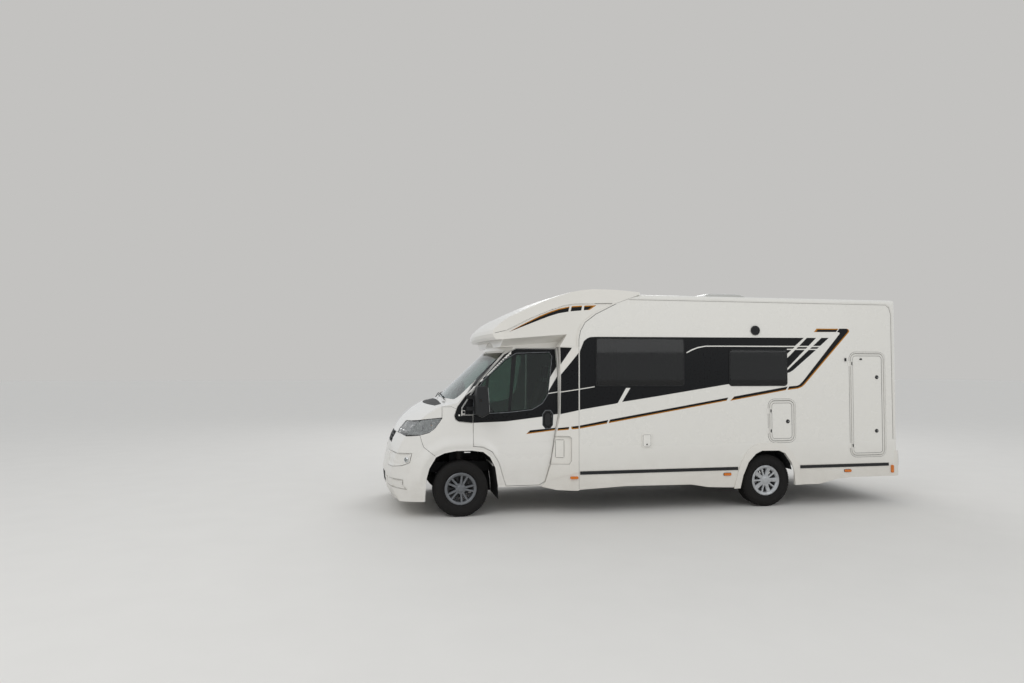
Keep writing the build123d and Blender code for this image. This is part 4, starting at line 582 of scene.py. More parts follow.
black_vinyl = cast_vinyl("black_cast_vinyl", "#101113", 0.3, 0.0)
bronze_vinyl = cast_vinyl("bronze_metallic_vinyl", "#B4761F", 0.38, 0.35)
DOOR_GLASS = [
    (160, 1262), (160, 1480), (290, 1665), (560, 1915), (700, 1992), (1116, 2008), (1146, 1964),
    (1080, 1490), (1010, 1385), (880, 1312), (600, 1283),
]
DOOR_FILM_EDGE = (
    (150, 1248), (13, 1248), (13, 1329), (242, 1663), (561, 1992), (701, 2059), (1202, 2059),
    (1219, 1700), (1215, 1238), (1167, 981), (1115, 640), (700, 640), (150, 860),
)
FAIRING_FILM_EDGE = (
    (1226, 2074), (1450, 2074), (1450, 1090), (1450, 900), (1184, 900), (1184, 985), (1230, 1238),
    (1235, 1700),
)
CAB_BAND = (
    (640, 2090), (1460, 2090), (1460, 1297), (1236, 1247), (992, 1209), (551, 1158), (143, 1146),
    (-33, 1165), (-70, 1190), (-84, 1234), (-47, 1344), (215, 1690), (430, 1905), (560, 2020),
)
HANDLE_CUP = [(1028, 1110), (1060, 1070), (1112, 1070), (1142, 1110), (1146, 1240), (1116, 1280),
              (1062, 1280), (1030, 1240)]
SLANT_BAR = ((1373, 2080), (1490, 2090), (1474, 2038), (1217, 1715), (1041, 1437), (1063, 1608))
THIN_LINE = ((1000, 1479), (1080, 1491), (1658, 1581), (1658, 1592), (1080, 1503), (1000, 1491))
LINE_START = ((809, 998), (861, 1044), (1182, 1071), (1459, 1104), (1459, 1066), (1182, 1040))
LINE_BLACK = ((830, 1012), (861, 1044), (1182, 1071), (1459, 1104), (1459, 1079), (1182, 1052))
WING_FILM = ((-90, 1100), (141, 1100), (141, 1236), (0, 1236), (0, 1334), (224, 1668), (545, 2000),
             (632, 2090), (-90, 2090))
cab_skin = skin_of("cab_shell")
SAIL_EDGE = ((136, 1142), (2, 1155), (-33, 1162), (-74, 1186), (-88, 1234), (-50, 1342),
             (190, 1668))
FILM_LIFT = {bronze_vinyl: 0.3, black_vinyl: 0.9}  # black lies over bronze
for side, name in SIDE_NAMES.items():
    door = f"{name}_cab_door"
    for where, body, skin, edge, glass in (
            ("door", door, door_skins[side], DOOR_FILM_EDGE, [DOOR_GLASS, grown(HANDLE_CUP, 6)]),
            ("fairing", "vehicle", fairing_skin, FAIRING_FILM_EDGE, [])):
        for part, material, outline, outside, step in (
                ("band", black_vinyl, CAB_BAND, [SLANT_BAR, THIN_LINE] + glass, 24),
                ("line_bronze", bronze_vinyl, LINE_START, [], 80),
                ("line_black", black_vinyl, LINE_BLACK, [], 80)):
            film(f"{name}_{where}_{part}", material, body, skin, [outline, edge], outside, side,
                 FILM_LIFT[material], step=step)
    film(f"{name}_wing_band", black_vinyl, "vehicle", cab_skin, [CAB_BAND, WING_FILM], side=side,
         lift=FILM_LIFT[black_vinyl], step=60)
    film(f"{name}_sail_edge", grey_sealer_and_shade, "vehicle", cab_skin, [ribbon(SAIL_EDGE, 4)], side=side,
         lift=1.4, thick=0.6, step=25)

# Side glass seals: extruded rubber round the pane, a bright lip on it, and the bar that divides the
# fixed front pane from the one that slides down.
# Extruded rubber is matt and shows no grain; its flocked lip is paler.
black_rubber = moulded_plastic("black_extruded_rubber", "#151617", 0.65, 2.0, 0.1)
grey_lip = moulded_plastic("grey_seal_lip", "#83878A", 0.4, 2.0, 0.05)
DIVIDER = ((702, 1990), (612, 1284), (582, 1282), (640, 1960))
for side, name in SIDE_NAMES.items():
    door = f"{name}_cab_door"
    for part, material, outer, inner, thick in (("seal", black_rubber, 9, -1, 3.0),
                                                ("seal_lip", grey_lip, 14, 10, 2.0)):
        film(f"{name}_glass_{part}", material, door, door_skins[side], [grown(DOOR_GLASS, outer)],
             [grown(DOOR_GLASS, inner)], side, lift=1.0, thick=thick, step=24)
    film(f"{name}_glass_divider", black_rubber, door, skin_of(f"{name}_cab_door_glass"), [DIVIDER],
         side=side, lift=0.2, thick=3.0, step=60)

# Door handle: a grained black paddle hinged in a black cup that is pressed into the leaf. A bezel
# clips round the cup, with a thin grey rim on the paint.
def slab(name, material, body, outline, near, far, facing="side", edge_mm=2.0, hole=None):
    """Plate with an outline and a thickness; a hole has as many points as the outline."""
    place = {"side": lambda u, v, w: spot(u, w, v), "rear": lambda u, v, w: spot(w, u, v),
             "roof": lambda u, v, w: spot(u, v, w)}[facing]
    bm = bmesh.new()
    low, high = [[bm.verts.new(place(u, v, w)) for u, v in outline] for w in (near, far)]
    count = len(outline)
    if hole:
        low_in, high_in = [[bm.verts.new(place(u, v, w)) for u, v in hole] for w in (near, far)]
    else:
        bm.faces.new(high)
        bm.faces.new(low)
    for i in range(count):
        j = (i + 1) % count
        bm.faces.new((low[i], low[j], high[j], high[i]))
        if hole:
            bm.faces.new((high[i], high[j], high_in[j], high_in[i]))
            bm.faces.new((low[i], low[j], low_in[j], low_in[i]))
            bm.faces.new((low_in[i], low_in[j], high_in[j], high_in[i]))
    bmesh.ops.recalc_face_normals(bm, faces=bm.faces)
    piece = add_piece(name, bm, material, body)
    if edge_mm:
        edge = piece.modifiers.new("rounded_edge", "BEVEL")
        edge.width = edge_mm / 1000
        edge.segments = 2
        edge.limit_method = "ANGLE"
        edge.angle_limit = math.radians(35)
        edge.harden_normals = True
    return piece


def side_plate(name, material, body, side, outline, near, far, edge_mm=2.0, hole=None):
    """Plate on one side of the vehicle, between two distances from its middle."""
    return slab(name, material, body, outline, side * near, side * far, "side", edge_mm, hole)


PADDLE = [(1046, 1124), (1066, 1092), (1106, 1092), (1126, 1124), (1128, 1226), (1108, 1256),
          (1068, 1256), (1048, 1226)]
for side, name in SIDE_NAMES.items():
    door = f"{name}_cab_door"
    film(f"{name}_handle_cup_lining", black_grained_plastic, door, door_skins[side],
         [grown(HANDLE_CUP, -10)], side=side, lift=0.3, thick=1.5, step=15)
    for part, material, outline, near, far, edge_mm, hole in (
            ("bezel", black_grained_plastic, grown(HANDLE_CUP, 8), 1008, 1027.2, 1.5,
             grown(HANDLE_CUP, -9)),
            ("rim", grey_lip, grown(HANDLE_CUP, 12), 1018, 1026.6, 1, grown(HANDLE_CUP, 8.2)),
            ("paddle", black_grained_plastic, PADDLE, 1010, 1021, 4, None)):
        side_plate(f"{name}_handle_{part}", material, door, side, outline, near, far, edge_mm, hole)

# Walls, roof and hatch leaves: coil-coated aluminium sheet bonded to foam, flat but for the slow
# waves that show in every reflection on such a wall.
white_coated_aluminium = white_finish("white_coated_aluminium", "#E5E3DD", 0.26, 0.3, 520, 0.8)
for node in ("left_wall", "right_wall", "rear_wall", "roof_panel", "locker_door",
             "left_garage_door", "right_garage_door", "entry_door"):
    dress(node, white_coated_aluminium)

# Decor films on the walls: cast vinyl cut by plotter, black over bronze, so that the bronze shows
# as a narrow edge under each black stroke.
wall_skin = skin_of("left_wall", "right_wall")
WINDOWS = {
    -1: ((1670, 2860, 1590, 2204), (3481, 4321, 1587, 2069)),
    1: ((3300, 4140, 1587, 2069), (4500, 5100, 1587, 2069)),
}
WALL_BAND = (
    (1466, 1300), (1919, 1371), (1962, 1380), (2072, 1570), (2130, 1569), (2020, 1394), (2469, 1459),
    (3479, 1614), (3500, 1600), (4310, 1600), (4319, 2010), (4424, 2094), (4445, 2122), (4571, 2227),
    (1670, 2212), (1600, 2207), (1560, 2190), (1520, 2157), (1471, 2037), (1466, 2005),
)
WHITE_LINE = (
    (2890, 2024), (2970, 2066), (3050, 2094), (3156, 2112), (3300, 2114), (4850, 2121), (4850, 2105),
    (3300, 2100), (3156, 2098), (3050, 2078), (2975, 2050), (2896, 2012),
)
SECOND_LINE = ((4320, 2080), (4850, 2083), (4850, 2067), (4320, 2064))
BAR_A = ((4618, 2227), (4755, 2228), (4317, 1816), (4319, 1950))
BAR_B = ((4836, 2229), (4943, 2230), (4735, 2055), (4409, 1796), (4360, 1768), (4316, 1757),
         (4316, 1786))
WHITE_CUT = ((1812, 1115), (1834, 1115), (1864, 1185), (1842, 1185))
# the whole stroke in bronze, and the black one on it
LOWER_STROKES = {
    "long": (((1466, 1105), (1843, 1171), (3472, 1440), (3445, 1398), (1830, 1128), (1466, 1067)),
             ((1466, 1105), (1843, 1171), (3472, 1440), (3452, 1410), (1833, 1141), (1466, 1080))),
    "middle": (((3553, 1450), (4326, 1578), (4297, 1531), (3499, 1397)),
               ((3557, 1452), (4326, 1578), (4303, 1542), (3522, 1413))),
    "turn": (((4347, 1580), (4466, 1590), (4500, 1604), (4552, 1649), (5100, 2275), (5112, 2292),
              (5104, 2306), (5070, 2311), (5107, 2356), (5222, 2357), (5250, 2345), (5256, 2322),
              (5240, 2298), (4575, 1604), (4535, 1574), (4480, 1552), (4323, 1534)),
             ((4347, 1580), (4466, 1590), (4500, 1604), (4552, 1649), (5100, 2275), (5112, 2292),
              (5104, 2306), (5070, 2311), (5107, 2356), (5212, 2357), (5234, 2345), (5238, 2324),
              (5222, 2302), (4563, 1614), (4526, 1585), (4474, 1565), (4332, 1547))),
    "top": (((4722, 2306), (4765, 2353), (5092, 2355), (5055, 2311)),
            ((4756, 2308), (4782, 2340), (5079, 2342), (5055, 2311))),
}
ENTRY_GAP = ((2244, 554), (2896, 554), (2896, 2336), (2244, 2336))
ENTRY_LEAF = ((2254, 564), (2886, 564), (2886, 2326), (2254, 2326))
ENTRY_WINDOW = (2370, 2770, 1560, 2060)


def box_outline(limits, grow=0):
    """Rectangle between two limits along and two limits up."""
    low, high, foot, head = limits
    return [(low - grow, foot - grow), (high + grow, foot - grow), (high + grow, head + grow),
            (low - grow, head + grow)]


for side, name in SIDE_NAMES.items():
    has_entry = side > 0
    panes = [box_outline(limits, -12) for limits in WINDOWS[side]]
    lines = [WHITE_LINE, SECOND_LINE, THIN_LINE]
    pieces = [(piece, black_vinyl, outline, lines + panes)
              for piece, outline in (("band", WALL_BAND), ("bar_a", BAR_A), ("bar_b", BAR_B))]
    for stroke, (whole, black) in LOWER_STROKES.items():
        pieces.append((f"{stroke}_bronze", bronze_vinyl, whole, [WHITE_CUT]))
        pieces.append((f"{stroke}_black", black_vinyl, black, [WHITE_CUT]))
    for piece, material, outline, outside in pieces:
        film(f"{name}_film_{piece}", material, "vehicle", wall_skin, [outline],
             outside + [ENTRY_GAP] * has_entry, side, FILM_LIFT[material])
        if has_entry and piece in ("band", "long_bronze", "long_black"):
            film(f"{name}_door_film_{piece}", material, "entry_door", skin_of("entry_door"),
                 [outline, ENTRY_LEAF], outside + [box_outline(ENTRY_WINDOW, -2)], side,
                 FILM_LIFT[material])

# Overcab decor: the same two cast films on the moulding's flank, stretched over its curve, as a
# long leaf that two slanted gaps break.
overcab_skin = skin_of("overcab_moulding", "left_wall", "right_wall")
OVERCAB_STROKES = {
    "long": (((571, 2262), (650, 2307), (729, 2350), (961, 2467), (1100, 2524), (1196, 2557),
              (1336, 2588), (1321, 2523), (1195, 2500), (1080, 2464), (961, 2418), (758, 2337)),
             ((571, 2262), (655, 2303), (735, 2344), (961, 2453), (1100, 2510), (1196, 2543),
              (1333, 2575), (1321, 2523), (1195, 2500), (1080, 2464), (961, 2418), (758, 2337))),
    "second": (((1366, 2592), (1500, 2603), (1489, 2541), (1351, 2528)),
               ((1363, 2578), (1498, 2589), (1489, 2541), (1351, 2528))),
    "third": (((1530, 2603), (1687, 2609), (1597, 2550), (1522, 2545)),
              ((1528, 2589), (1640, 2595), (1575, 2550), (1522, 2545))),
}
for side, name in SIDE_NAMES.items():
    for stroke, (whole, black) in OVERCAB_STROKES.items():
        for colour, material, outline in (("bronze", bronze_vinyl, whole),
                                          ("black", black_vinyl, black)):
            film(f"{name}_overcab_{stroke}_{colour}", material, "vehicle", overcab_skin, [outline],
                 side=side, lift=FILM_LIFT[material], step=60)

# Living windows: double acrylic panes, smoked, in black polyurethane frames, hung at the top and
# held by catches at the foot; curtains hang behind, and a blind is drawn down behind the rear one.
# Cast acrylic, smoked in the mass: near black from outside, with soft reflections.
smoked_acrylic, shader, place = new_material("smoked_acrylic", Transmission_Weight=1.0, IOR=1.49,
                                             Base_Color=to_linear("#3C4140"))
haze = add_node(smoked_acrylic, "TexNoise", Scale=14.0, Detail=4.0, Vector=place).outputs[0]
dull = add_node(smoked_acrylic, "MapRange", Value=haze, From_Min=0.3, From_Max=0.8, To_Min=0.01,
                To_Max=0.06).outputs[0]
feed(smoked_acrylic, shader, Roughness=dull)
# Foamed polyurethane with an in-mould skin: a satin black.
frame_black = moulded_plastic("black_polyurethane_frame", "#141516", 0.5, 2.0, 0.08)


def woven_cloth(name, colour, shade, thread_mm, sheen):
    """Plain-woven cloth; the weave is drawn coarser than it is, so that it shows."""
    material, shader, place = new_material(name, Roughness=0.92, Sheen_Weight=sheen)
    weave = add_node(material, "TexChecker", Vector=place, Scale=1000 / thread_mm).outputs[1]
    cloud = add_node(material, "TexNoise", Vector=place, Scale=9.0, Detail=4.0).outputs[0]
    tint = add_node(material, "Mix", data_type="RGBA", input0=cloud,
                    input6=to_linear(colour), input7=to_linear(shade)).outputs[2]
    bump = add_node(material, "Bump", Height=weave, Distance=0.0004, Strength=0.5).outputs[0]
    feed(material, shader, Base_Color=tint, Normal=bump)
    return material


def rounded(limits, corner, grow=0, steps=6):
    """Rectangle with rounded corners, as an outline."""
    low, high, foot, head = limits
    corner += grow
    points = []
    for x, z, start in ((high + grow - corner, head + grow - corner, 0),
                        (low - grow + corner, head + grow - corner, 90),
                        (low - grow + corner, foot - grow + corner, 180),
                        (high + grow - corner, foot - grow + corner, 270)):
        for step in range(steps + 1):
            angle = math.radians(start + 90 * step / steps)
            points.append((x + corner * math.cos(angle), z + corner * math.sin(angle)))
    return points


# Plain-woven polyester: the blind coarse and grey, the curtains soft with a sheen.
blind_cloth = woven_cloth("pleated_blind_cloth", "#8C8880", "#7C776E", 3.0, 0.1)
curtain_cloth = woven_cloth("brown_curtain_cloth", "#6A5543", "#4E3D30", 3.0, 0.3)
PANE_CORNER = 45
FRAME_FACE, PANE_FACE = WALL_Y + 9, WALL_Y + 14
BLIND_PLEATS, PLEAT_DEPTH, BLIND_MARGIN = 44, 4, 40
CURTAIN_FOLDS, FOLD_DEPTH, FOLD_POINTS, CURTAIN_MARGIN = 7, 16, 10, 20
CURTAIN_SHARE = 0.24
BLIND_Y, CURTAIN_Y = WALL_Y - 60, WALL_Y - 70
for side, name in SIDE_NAMES.items():
    for place, limits in zip(("front", "rear"), WINDOWS[side]):
        title = f"{name}_{place}_window"
        low, high, foot, head = limits
        for part, material, outline, near, far, edge_mm, hole in (
                ("frame", frame_black, rounded(limits, PANE_CORNER), WALL_Y - 20, FRAME_FACE, 4,
                 rounded(limits, PANE_CORNER, -38)),
                ("pane", smoked_acrylic, rounded(limits, PANE_CORNER, -14), WALL_Y + 9.3, PANE_FACE,
                 3, None),
                ("border", frame_black, rounded(limits, PANE_CORNER, -16), WALL_Y + 8.6,
                 WALL_Y + 9.1, 0, rounded(limits, PANE_CORNER, -52)),
                ("top_hinge", black_rubber,
                 box_outline((low + 20, high - 20, head - 16, head - 2)), WALL_Y + 8, PANE_FACE, 2,
                 None)):
            side_plate(f"{title}_{part}", material, "vehicle", side, outline, near,
                                    far, edge_mm, hole)
        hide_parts("living_windows")
        for share in (0.16, 0.84):
            middle = low + (high - low) * share
            side_plate(f"{title}_catch_{round(share * 100)}", frame_black, "vehicle", side,
                       rounded((middle - 34, middle + 34, foot + 34, foot + 62), 8), WALL_Y - 34,
                       FRAME_FACE)
        if place == "rear" and side < 0:
            bm = bmesh.new()
            rows = []
            drawn = head - foot - 2 * BLIND_MARGIN
            for i in range(BLIND_PLEATS + 1):
                height = head - BLIND_MARGIN - drawn * i / BLIND_PLEATS
                depth = BLIND_Y + (PLEAT_DEPTH if i % 2 else -PLEAT_DEPTH)
                rows.append([bm.verts.new(spot(x, side * depth, height))
                             for x in (low + BLIND_MARGIN, high - BLIND_MARGIN)])
            for upper, lower in zip(rows, rows[1:]):
                bm.faces.new((upper[0], upper[1], lower[1], lower[0]))
            blind = add_piece(f"{title}_blind", bm, blind_cloth, "vehicle", smooth=10)
            continue
        wide = (high - low) * CURTAIN_SHARE
        for half, start, end in (("a", low + CURTAIN_MARGIN, low + CURTAIN_MARGIN + wide),
                                 ("b", high - CURTAIN_MARGIN - wide, high - CURTAIN_MARGIN)):
            bm = bmesh.new()
            columns = CURTAIN_FOLDS * FOLD_POINTS
            line = [(start + (end - start) * i / columns,
                     CURTAIN_Y + FOLD_DEPTH * math.sin(2 * math.pi * CURTAIN_FOLDS * i / columns))
                    for i in range(columns + 1)]
            upper, lower = [[bm.verts.new(spot(x, side * y, z)) for x, y in line]
                            for z in (head - CURTAIN_MARGIN, foot + CURTAIN_MARGIN)]
            for i in range(columns):
                bm.faces.new((upper[i], upper[i + 1], lower[i + 1], lower[i]))
            width = sum(math.dist(a, b) for a, b in zip(line, line[1:])) / 1000
            curtain = add_piece(f"{title}_curtain_{half}", bm, curtain_cloth, "vehicle", smooth=60)

# Entry door: its window is a smoked acrylic pane in a moulded black frame. A handle with a grip is
# screwed to the leaf, and an opal lamp for the step to the wall above.
dress("entry_door_window", smoked_acrylic)
# Opal acrylic, smooth and milky.
opal_lamp = moulded_plastic("white_opal_acrylic", "#E8E6E0", 0.3, 3.0, 0.05)
for piece, material, body, limits, corner, near, far, edge_mm in (
        ("entry_door_handle", black_grained_plastic, "entry_door", (2788, 2858, 1270, 1480), 20,
         0, 9, 4),
        ("entry_door_grip", black_grained_plastic, "entry_door", (2806, 2840, 1300, 1440), 14,
         9, 24, 6),
        ("entry_awning_lamp", opal_lamp, "vehicle", (2330, 2810, 2380, 2410), 10, 0, 22, 6)):
    side_plate(piece, material, body, 1, rounded(limits, corner), WALL_Y + near, WALL_Y + far,
               edge_mm)
side_plate("entry_window_frame", frame_black, "entry_door", 1,
           rounded(ENTRY_WINDOW, PANE_CORNER, 14), WALL_Y, FRAME_FACE, 3,
           rounded(ENTRY_WINDOW, PANE_CORNER, -16))

# Hatches: flush leaves in white aluminium frames with rubber seals, round knobs, and a catch that
# holds the garage door open, with a small lamp above it.
HATCHES = (
    ("locker", -1, (4063, 4409, 868, 1389), "locker_door", ((4321, 1119),)),
    ("left_garage", -1, (5272, 5768, 653, 2016), "left_garage_door", ((5666, 1701), (5652, 974))),
    ("right_garage", 1, (5272, 5768, 653, 2016), "right_garage_door", ((5666, 1701), (5652, 974))),
)
# Stoved enamel on aluminium: smooth, a touch greyer than the wall.
white_frame_paint = white_finish("white_frame_enamel", "#DDDBD5", 0.3, 0.3, 200, 0.2)
HATCH_CORNER = 70
# name, material, whether it is on the leaf, growth of the outer and inner line, face, edge
HATCH_RINGS = (
    ("frame", white_frame_paint, False, 26, 8, 3.5, 1.5),
    ("frame_seal", dark_sealer, False, 29, 26.2, 1, 0),
    ("leaf_frame", white_frame_paint, True, -2, -26, 3, 1.5),
    ("leaf_seal", dark_sealer, True, -26.2, -30, 1.2, 0),
)
for name, side, limits, leaf, knobs in HATCHES:
    for part, material, on_leaf, outer, inner, face, edge_mm in HATCH_RINGS:
        side_plate(f"{name}_{part}", material, leaf if on_leaf else "vehicle", side,
                   rounded(limits, HATCH_CORNER, outer), WALL_Y, WALL_Y + face, edge_mm,
                   rounded(limits, HATCH_CORNER, inner))
    for number, (behind, height) in enumerate(knobs):
        turned_piece(f"{name}_knob_{number}", black_grained_plastic, leaf,
                     ((0, 26), (3, 26), (4, 21), (9, 20), (11, 16), (11, 6), (10, 0)),
                     spot(behind, side * WALL_Y, height), (0, side, 0))
        side_plate(f"{name}_knob_slot_{number}", chrome, leaf, side,
                   rounded((behind - 3, behind + 3, height - 9, height + 9), 2.5), WALL_Y + 10,
                   WALL_Y + 12, 0.5)
    if "garage" in name:
        side_plate(f"{name}_catch", black_grained_plastic, "vehicle", side,
                   rounded((5176, 5198, 1916, 1960), 6), WALL_Y, WALL_Y + 16, 4)
        side_plate(f"{name}_lamp", frame_black, leaf, side, rounded((5404, 5440, 1934, 1956), 6),
                   WALL_Y + 3, WALL_Y + 10, 3)

# Wall fittings: the lidded mains inlet, moulded in white ABS, with a round lock, and a black round
# vent whose slats lie in a turned rim. Both are screwed to the left wall over a seal.
# Moulded ABS: a satin white with a fine grain.
white_abs = moulded_plastic("white_moulded_abs", "#DEDCD6", 0.4, 2.5, 0.05)
dress("wall_fittings", white_abs, 3)
FITTING_FACE = WALL_Y + 16
side_plate("inlet_lid_line", dark_sealer, "vehicle", -1, rounded((2290, 2396, 833, 979), 12),
           FITTING_FACE, FITTING_FACE + 0.6, 0, rounded((2293, 2393, 836, 976), 10))
turned_piece("inlet_lock", black_grained_plastic, "vehicle", ((0, 10), (3, 9), (4, 0)),
             spot(2343, -FITTING_FACE, 856), (0, -1, 0), 20)
VENT_AT, VENT_HEIGHT, VENT_RADIUS, SLAT_PITCH, SLAT_HALF = 3860, 2317, 46, 13, 3
turned_piece("round_vent_cover", black_grained_plastic, "vehicle",
             ((-15, 62), (2, 62), (5, 58), (5, 50), (1, 48), (1, 0)),
             spot(VENT_AT, -FITTING_FACE, VENT_HEIGHT), (0, -1, 0), 48)
for slat in range(-3, 4):
    half = math.sqrt(VENT_RADIUS ** 2 - (slat * SLAT_PITCH) ** 2)
    height = VENT_HEIGHT + slat * SLAT_PITCH
    side_plate(f"round_vent_slat_{slat + 3}", black_grained_plastic, "vehicle", -1,
               rounded((VENT_AT - half, VENT_AT + half, height - SLAT_HALF, height + SLAT_HALF), 2),
               FITTING_FACE, FITTING_FACE + 5, 1)

# Rubbing strips: black PVC extrusions clipped into aluminium rails, which are riveted along the
# foot of the walls, before and behind the rear wheel.
# Extruded PVC: even, slightly shiny black.
black_pvc = moulded_plastic("black_extruded_pvc", "#17181A", 0.45, 2.5, 0.05)
for side, name in SIDE_NAMES.items():
    for place, start, end in (("front", 1468, 3598), ("rear", 4494, 5827)):
        side_plate(f"{name}_{place}_strip", black_pvc, "vehicle", side,
                   [(start, 497), (end, 500), (end, 540), (start, 537)], WALL_Y - 1, WALL_Y + 9, 4)
        side_plate(f"{name}_{place}_strip_rail", white_frame_paint, "vehicle", side,
                   box_outline((start, end, 541, 549)), WALL_Y - 1, WALL_Y + 5)

# Roof edge and corner mouldings: extruded aluminium rails, enamelled white, that cover the joints
# of the panels and are bedded in sealer. The grey line just under each rail is that sealer with the
# rail's shadow painted into it.
trim_skin = skin_of("left_wall", "right_wall", "roof_panel", "rear_wall", "rear_bumper",
                    "overcab_moulding")
EDGE_RAIL = ((2120, 2700), (5820, 2700), (5880, 2660), (5908, 2560), (5912, 860))
# grey line under the rail: sealer, and painted shadow that the rail throws
RAIL_SEALER_AND_SHADOW = ((2110, 2688), (5815, 2688), (5868, 2650), (5896, 2556), (5900, 860))
for side, name in SIDE_NAMES.items():
    for part, width, thick, material, line in (("rail", 16, 4, white_frame_paint, EDGE_RAIL),
                                               ("joint", 4, 1.2, grey_sealer_and_shade, RAIL_SEALER_AND_SHADOW)):
        film(f"{name}_roof_edge_{part}", material, "vehicle", trim_skin, [ribbon(line, width)],
             side=side, lift=0.1, thick=thick, step=60)

# Side markers: amber polycarbonate lenses, moulded with fine prisms inside, clipped to the skirts
# on black rubber bases.
def lens_plastic(name, colour):
    """Transparent coloured polycarbonate, whose moulded prisms break up what is behind."""
    material, shader, place = new_material(name, Transmission_Weight=0.2, IOR=1.58, Roughness=0.12)
    prisms = add_node(material, "TexVoronoi", Vector=place, Scale=220.0).outputs[0]
    base = to_linear(colour)
    tint = add_node(material, "Mix", data_type="RGBA", input0=prisms, input6=base,
                    input7=[c * 0.6 for c in base[:3]] + [1.0]).outputs[2]
    bump = add_node(material, "Bump", Height=prisms, Distance=0.0008,
                    Strength=0.8).outputs[0]
    feed(material, shader, Base_Color=tint, Normal=bump)
    return material


amber_lens = lens_plastic("amber_prismatic_lens", "#FF8A1A")
red_lens = lens_plastic("red_prismatic_lens", "#D01C10")
clear_lens = lens_plastic("clear_prismatic_lens", "#D9DBDA")
dress("side_markers", amber_lens, 3)
for side, name in SIDE_NAMES.items():
    for behind in (3448, 5200):
        side_plate(f"{name}_marker_base_{behind}", black_rubber, "vehicle", side,
                   rounded((behind - 55, behind + 55, 429, 469), 14), WALL_Y, WALL_Y + 3, 1)

# Mirrors: black grained housings on two arms bolted to the door, with two panes of silvered glass
# and, in the outer end, a clear lamp panel and an amber repeater.
# name, material, outline, distances from the middle, edge
MIRROR_PARTS = (
    ("glass_upper", chrome, [(306, 1392), (309, 1392), (293.5, 1582), (290.5, 1582)], 1092, 1262,
     0.8),
    ("glass_lower", chrome, [(311, 1290), (314, 1290), (310.5, 1378), (307.5, 1378)], 1092, 1262,
     0.8),
    ("lamp_panel", clear_lens,
     [(176, 1395), (214, 1395), (232, 1420), (232, 1500), (212, 1520), (180, 1520)], 1266, 1274, 2),
    ("repeater", amber_lens, [(186, 1415), (222, 1415), (224, 1450), (186, 1450)], 1266, 1275, 1.5),
)
for side, name in SIDE_NAMES.items():
    body = f"{name}_cab_door"
    dress(f"{name}_mirror", black_grained_plastic, 4)
    for part, material, outline, near, far, edge_mm in MIRROR_PARTS:
        side_plate(f"{name}_mirror_{part}", material, body, side, outline, near, far, edge_mm)

# Wipers: black painted steel arms pivoted in the scuttle, with rubber blades lying at the foot of
# the windscreen.
def bar(name, material, body, points, radius_mm):
    """Round bar bent through the points."""
    data = bpy.data.curves.new(name, "CURVE")
    data.dimensions = "3D"
    data.bevel_depth = radius_mm / 1000
    data.bevel_resolution = 3
    data.use_fill_caps = True
    spline = data.splines.new("POLY")
    spline.points.add(len(points) - 1)
    for point, place in zip(spline.points, points):
        point.co = (*place, 1)
    data.materials.append(material)
    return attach(hang(name, data), body)


screen_skin = skin_of("windscreen", "cowl_panel", "cab_shell")
WIPER_STEPS, WIPER_FOOT, WIPER_RISE, PIVOT_DROP = 8, 1424, 34, 14
for name, start, end in (("driver", -560, 60), ("passenger", 120, 700)):
    line = []
    for step in range(WIPER_STEPS + 1):
        y = start + (end - start) * step / WIPER_STEPS
        rise = WIPER_FOOT + WIPER_RISE * step / WIPER_STEPS + (0 if step else -PIVOT_DROP)
        hit = screen_skin.ray_cast(Vector((-5, y / 1000, rise / 1000)), Vector((1, 0, 0)))[0]
        line.append(hit + Vector((-0.012, 0, 0.006)))
    bar(f"{name}_wiper_blade", black_rubber, "vehicle", line[2:], 6)
    bar(f"{name}_wiper_arm", black_grained_plastic, "vehicle",
        [line[0] + Vector((-0.006, 0, 0)), line[3] + Vector((-0.014, 0, 0.012)),
         line[5] + Vector((-0.014, 0, 0.01))], 6)

# Tyres: radial commercial tyres of black rubber, a ribbed tread of blocks moulded on a smooth
# carcass, and a rim protector on each sidewall. They stand for the plain CAD tyres.
# Carbon-black rubber, worn matt by the road, with a little dried soil in patches.
tyre_rubber, shader, place = new_material("tyre_rubber", IOR=1.52, Specular_IOR_Level=0.25)
soil = add_node(tyre_rubber, "TexNoise", Vector=place, Scale=18.0, Detail=6.0).outputs[0]
tint = add_node(tyre_rubber, "Mix", data_type="RGBA", input0=soil, input6=to_linear("#0D0D0E"),
                input7=to_linear("#211F1D")).outputs[2]
dull = add_node(tyre_rubber, "MapRange", Value=soil, From_Min=0.3, From_Max=0.7, To_Min=0.7,
                To_Max=0.9).outputs[0]
feed(tyre_rubber, shader, Base_Color=tint, Roughness=dull)
TYRE_R = 341
TREAD_DEPTH = 8
WHEELBASE = 4035
WHEELS = (
    ("front_left", 0, -904.5), ("front_right", 0, 904.5),
    ("rear_left", WHEELBASE, -989.5), ("rear_right", WHEELBASE, 989.5),
)
CARCASS_HALF = (
    (82, 193), (84, 204), (88, 209), (94, 216), (99, 226), (97, 229), (102, 240), (106, 258),
    (107, 275), (105, 292), (101, 306), (98, 309), (98, 314), (93, 322), (86, 330),
    (80, TYRE_R - TREAD_DEPTH),
)
TYRE_STEPS = 120
# middle and half-width across the tread, and the share of a pitch by which the rib is turned
TREAD_RIBS = ((-70, 13, 0.0), (-36, 14, 0.5), (0, 14, 0.2), (36, 14, 0.7), (70, 13, 0.35))
TREAD_PITCHES = 62
TREAD_CROWN = 0.045
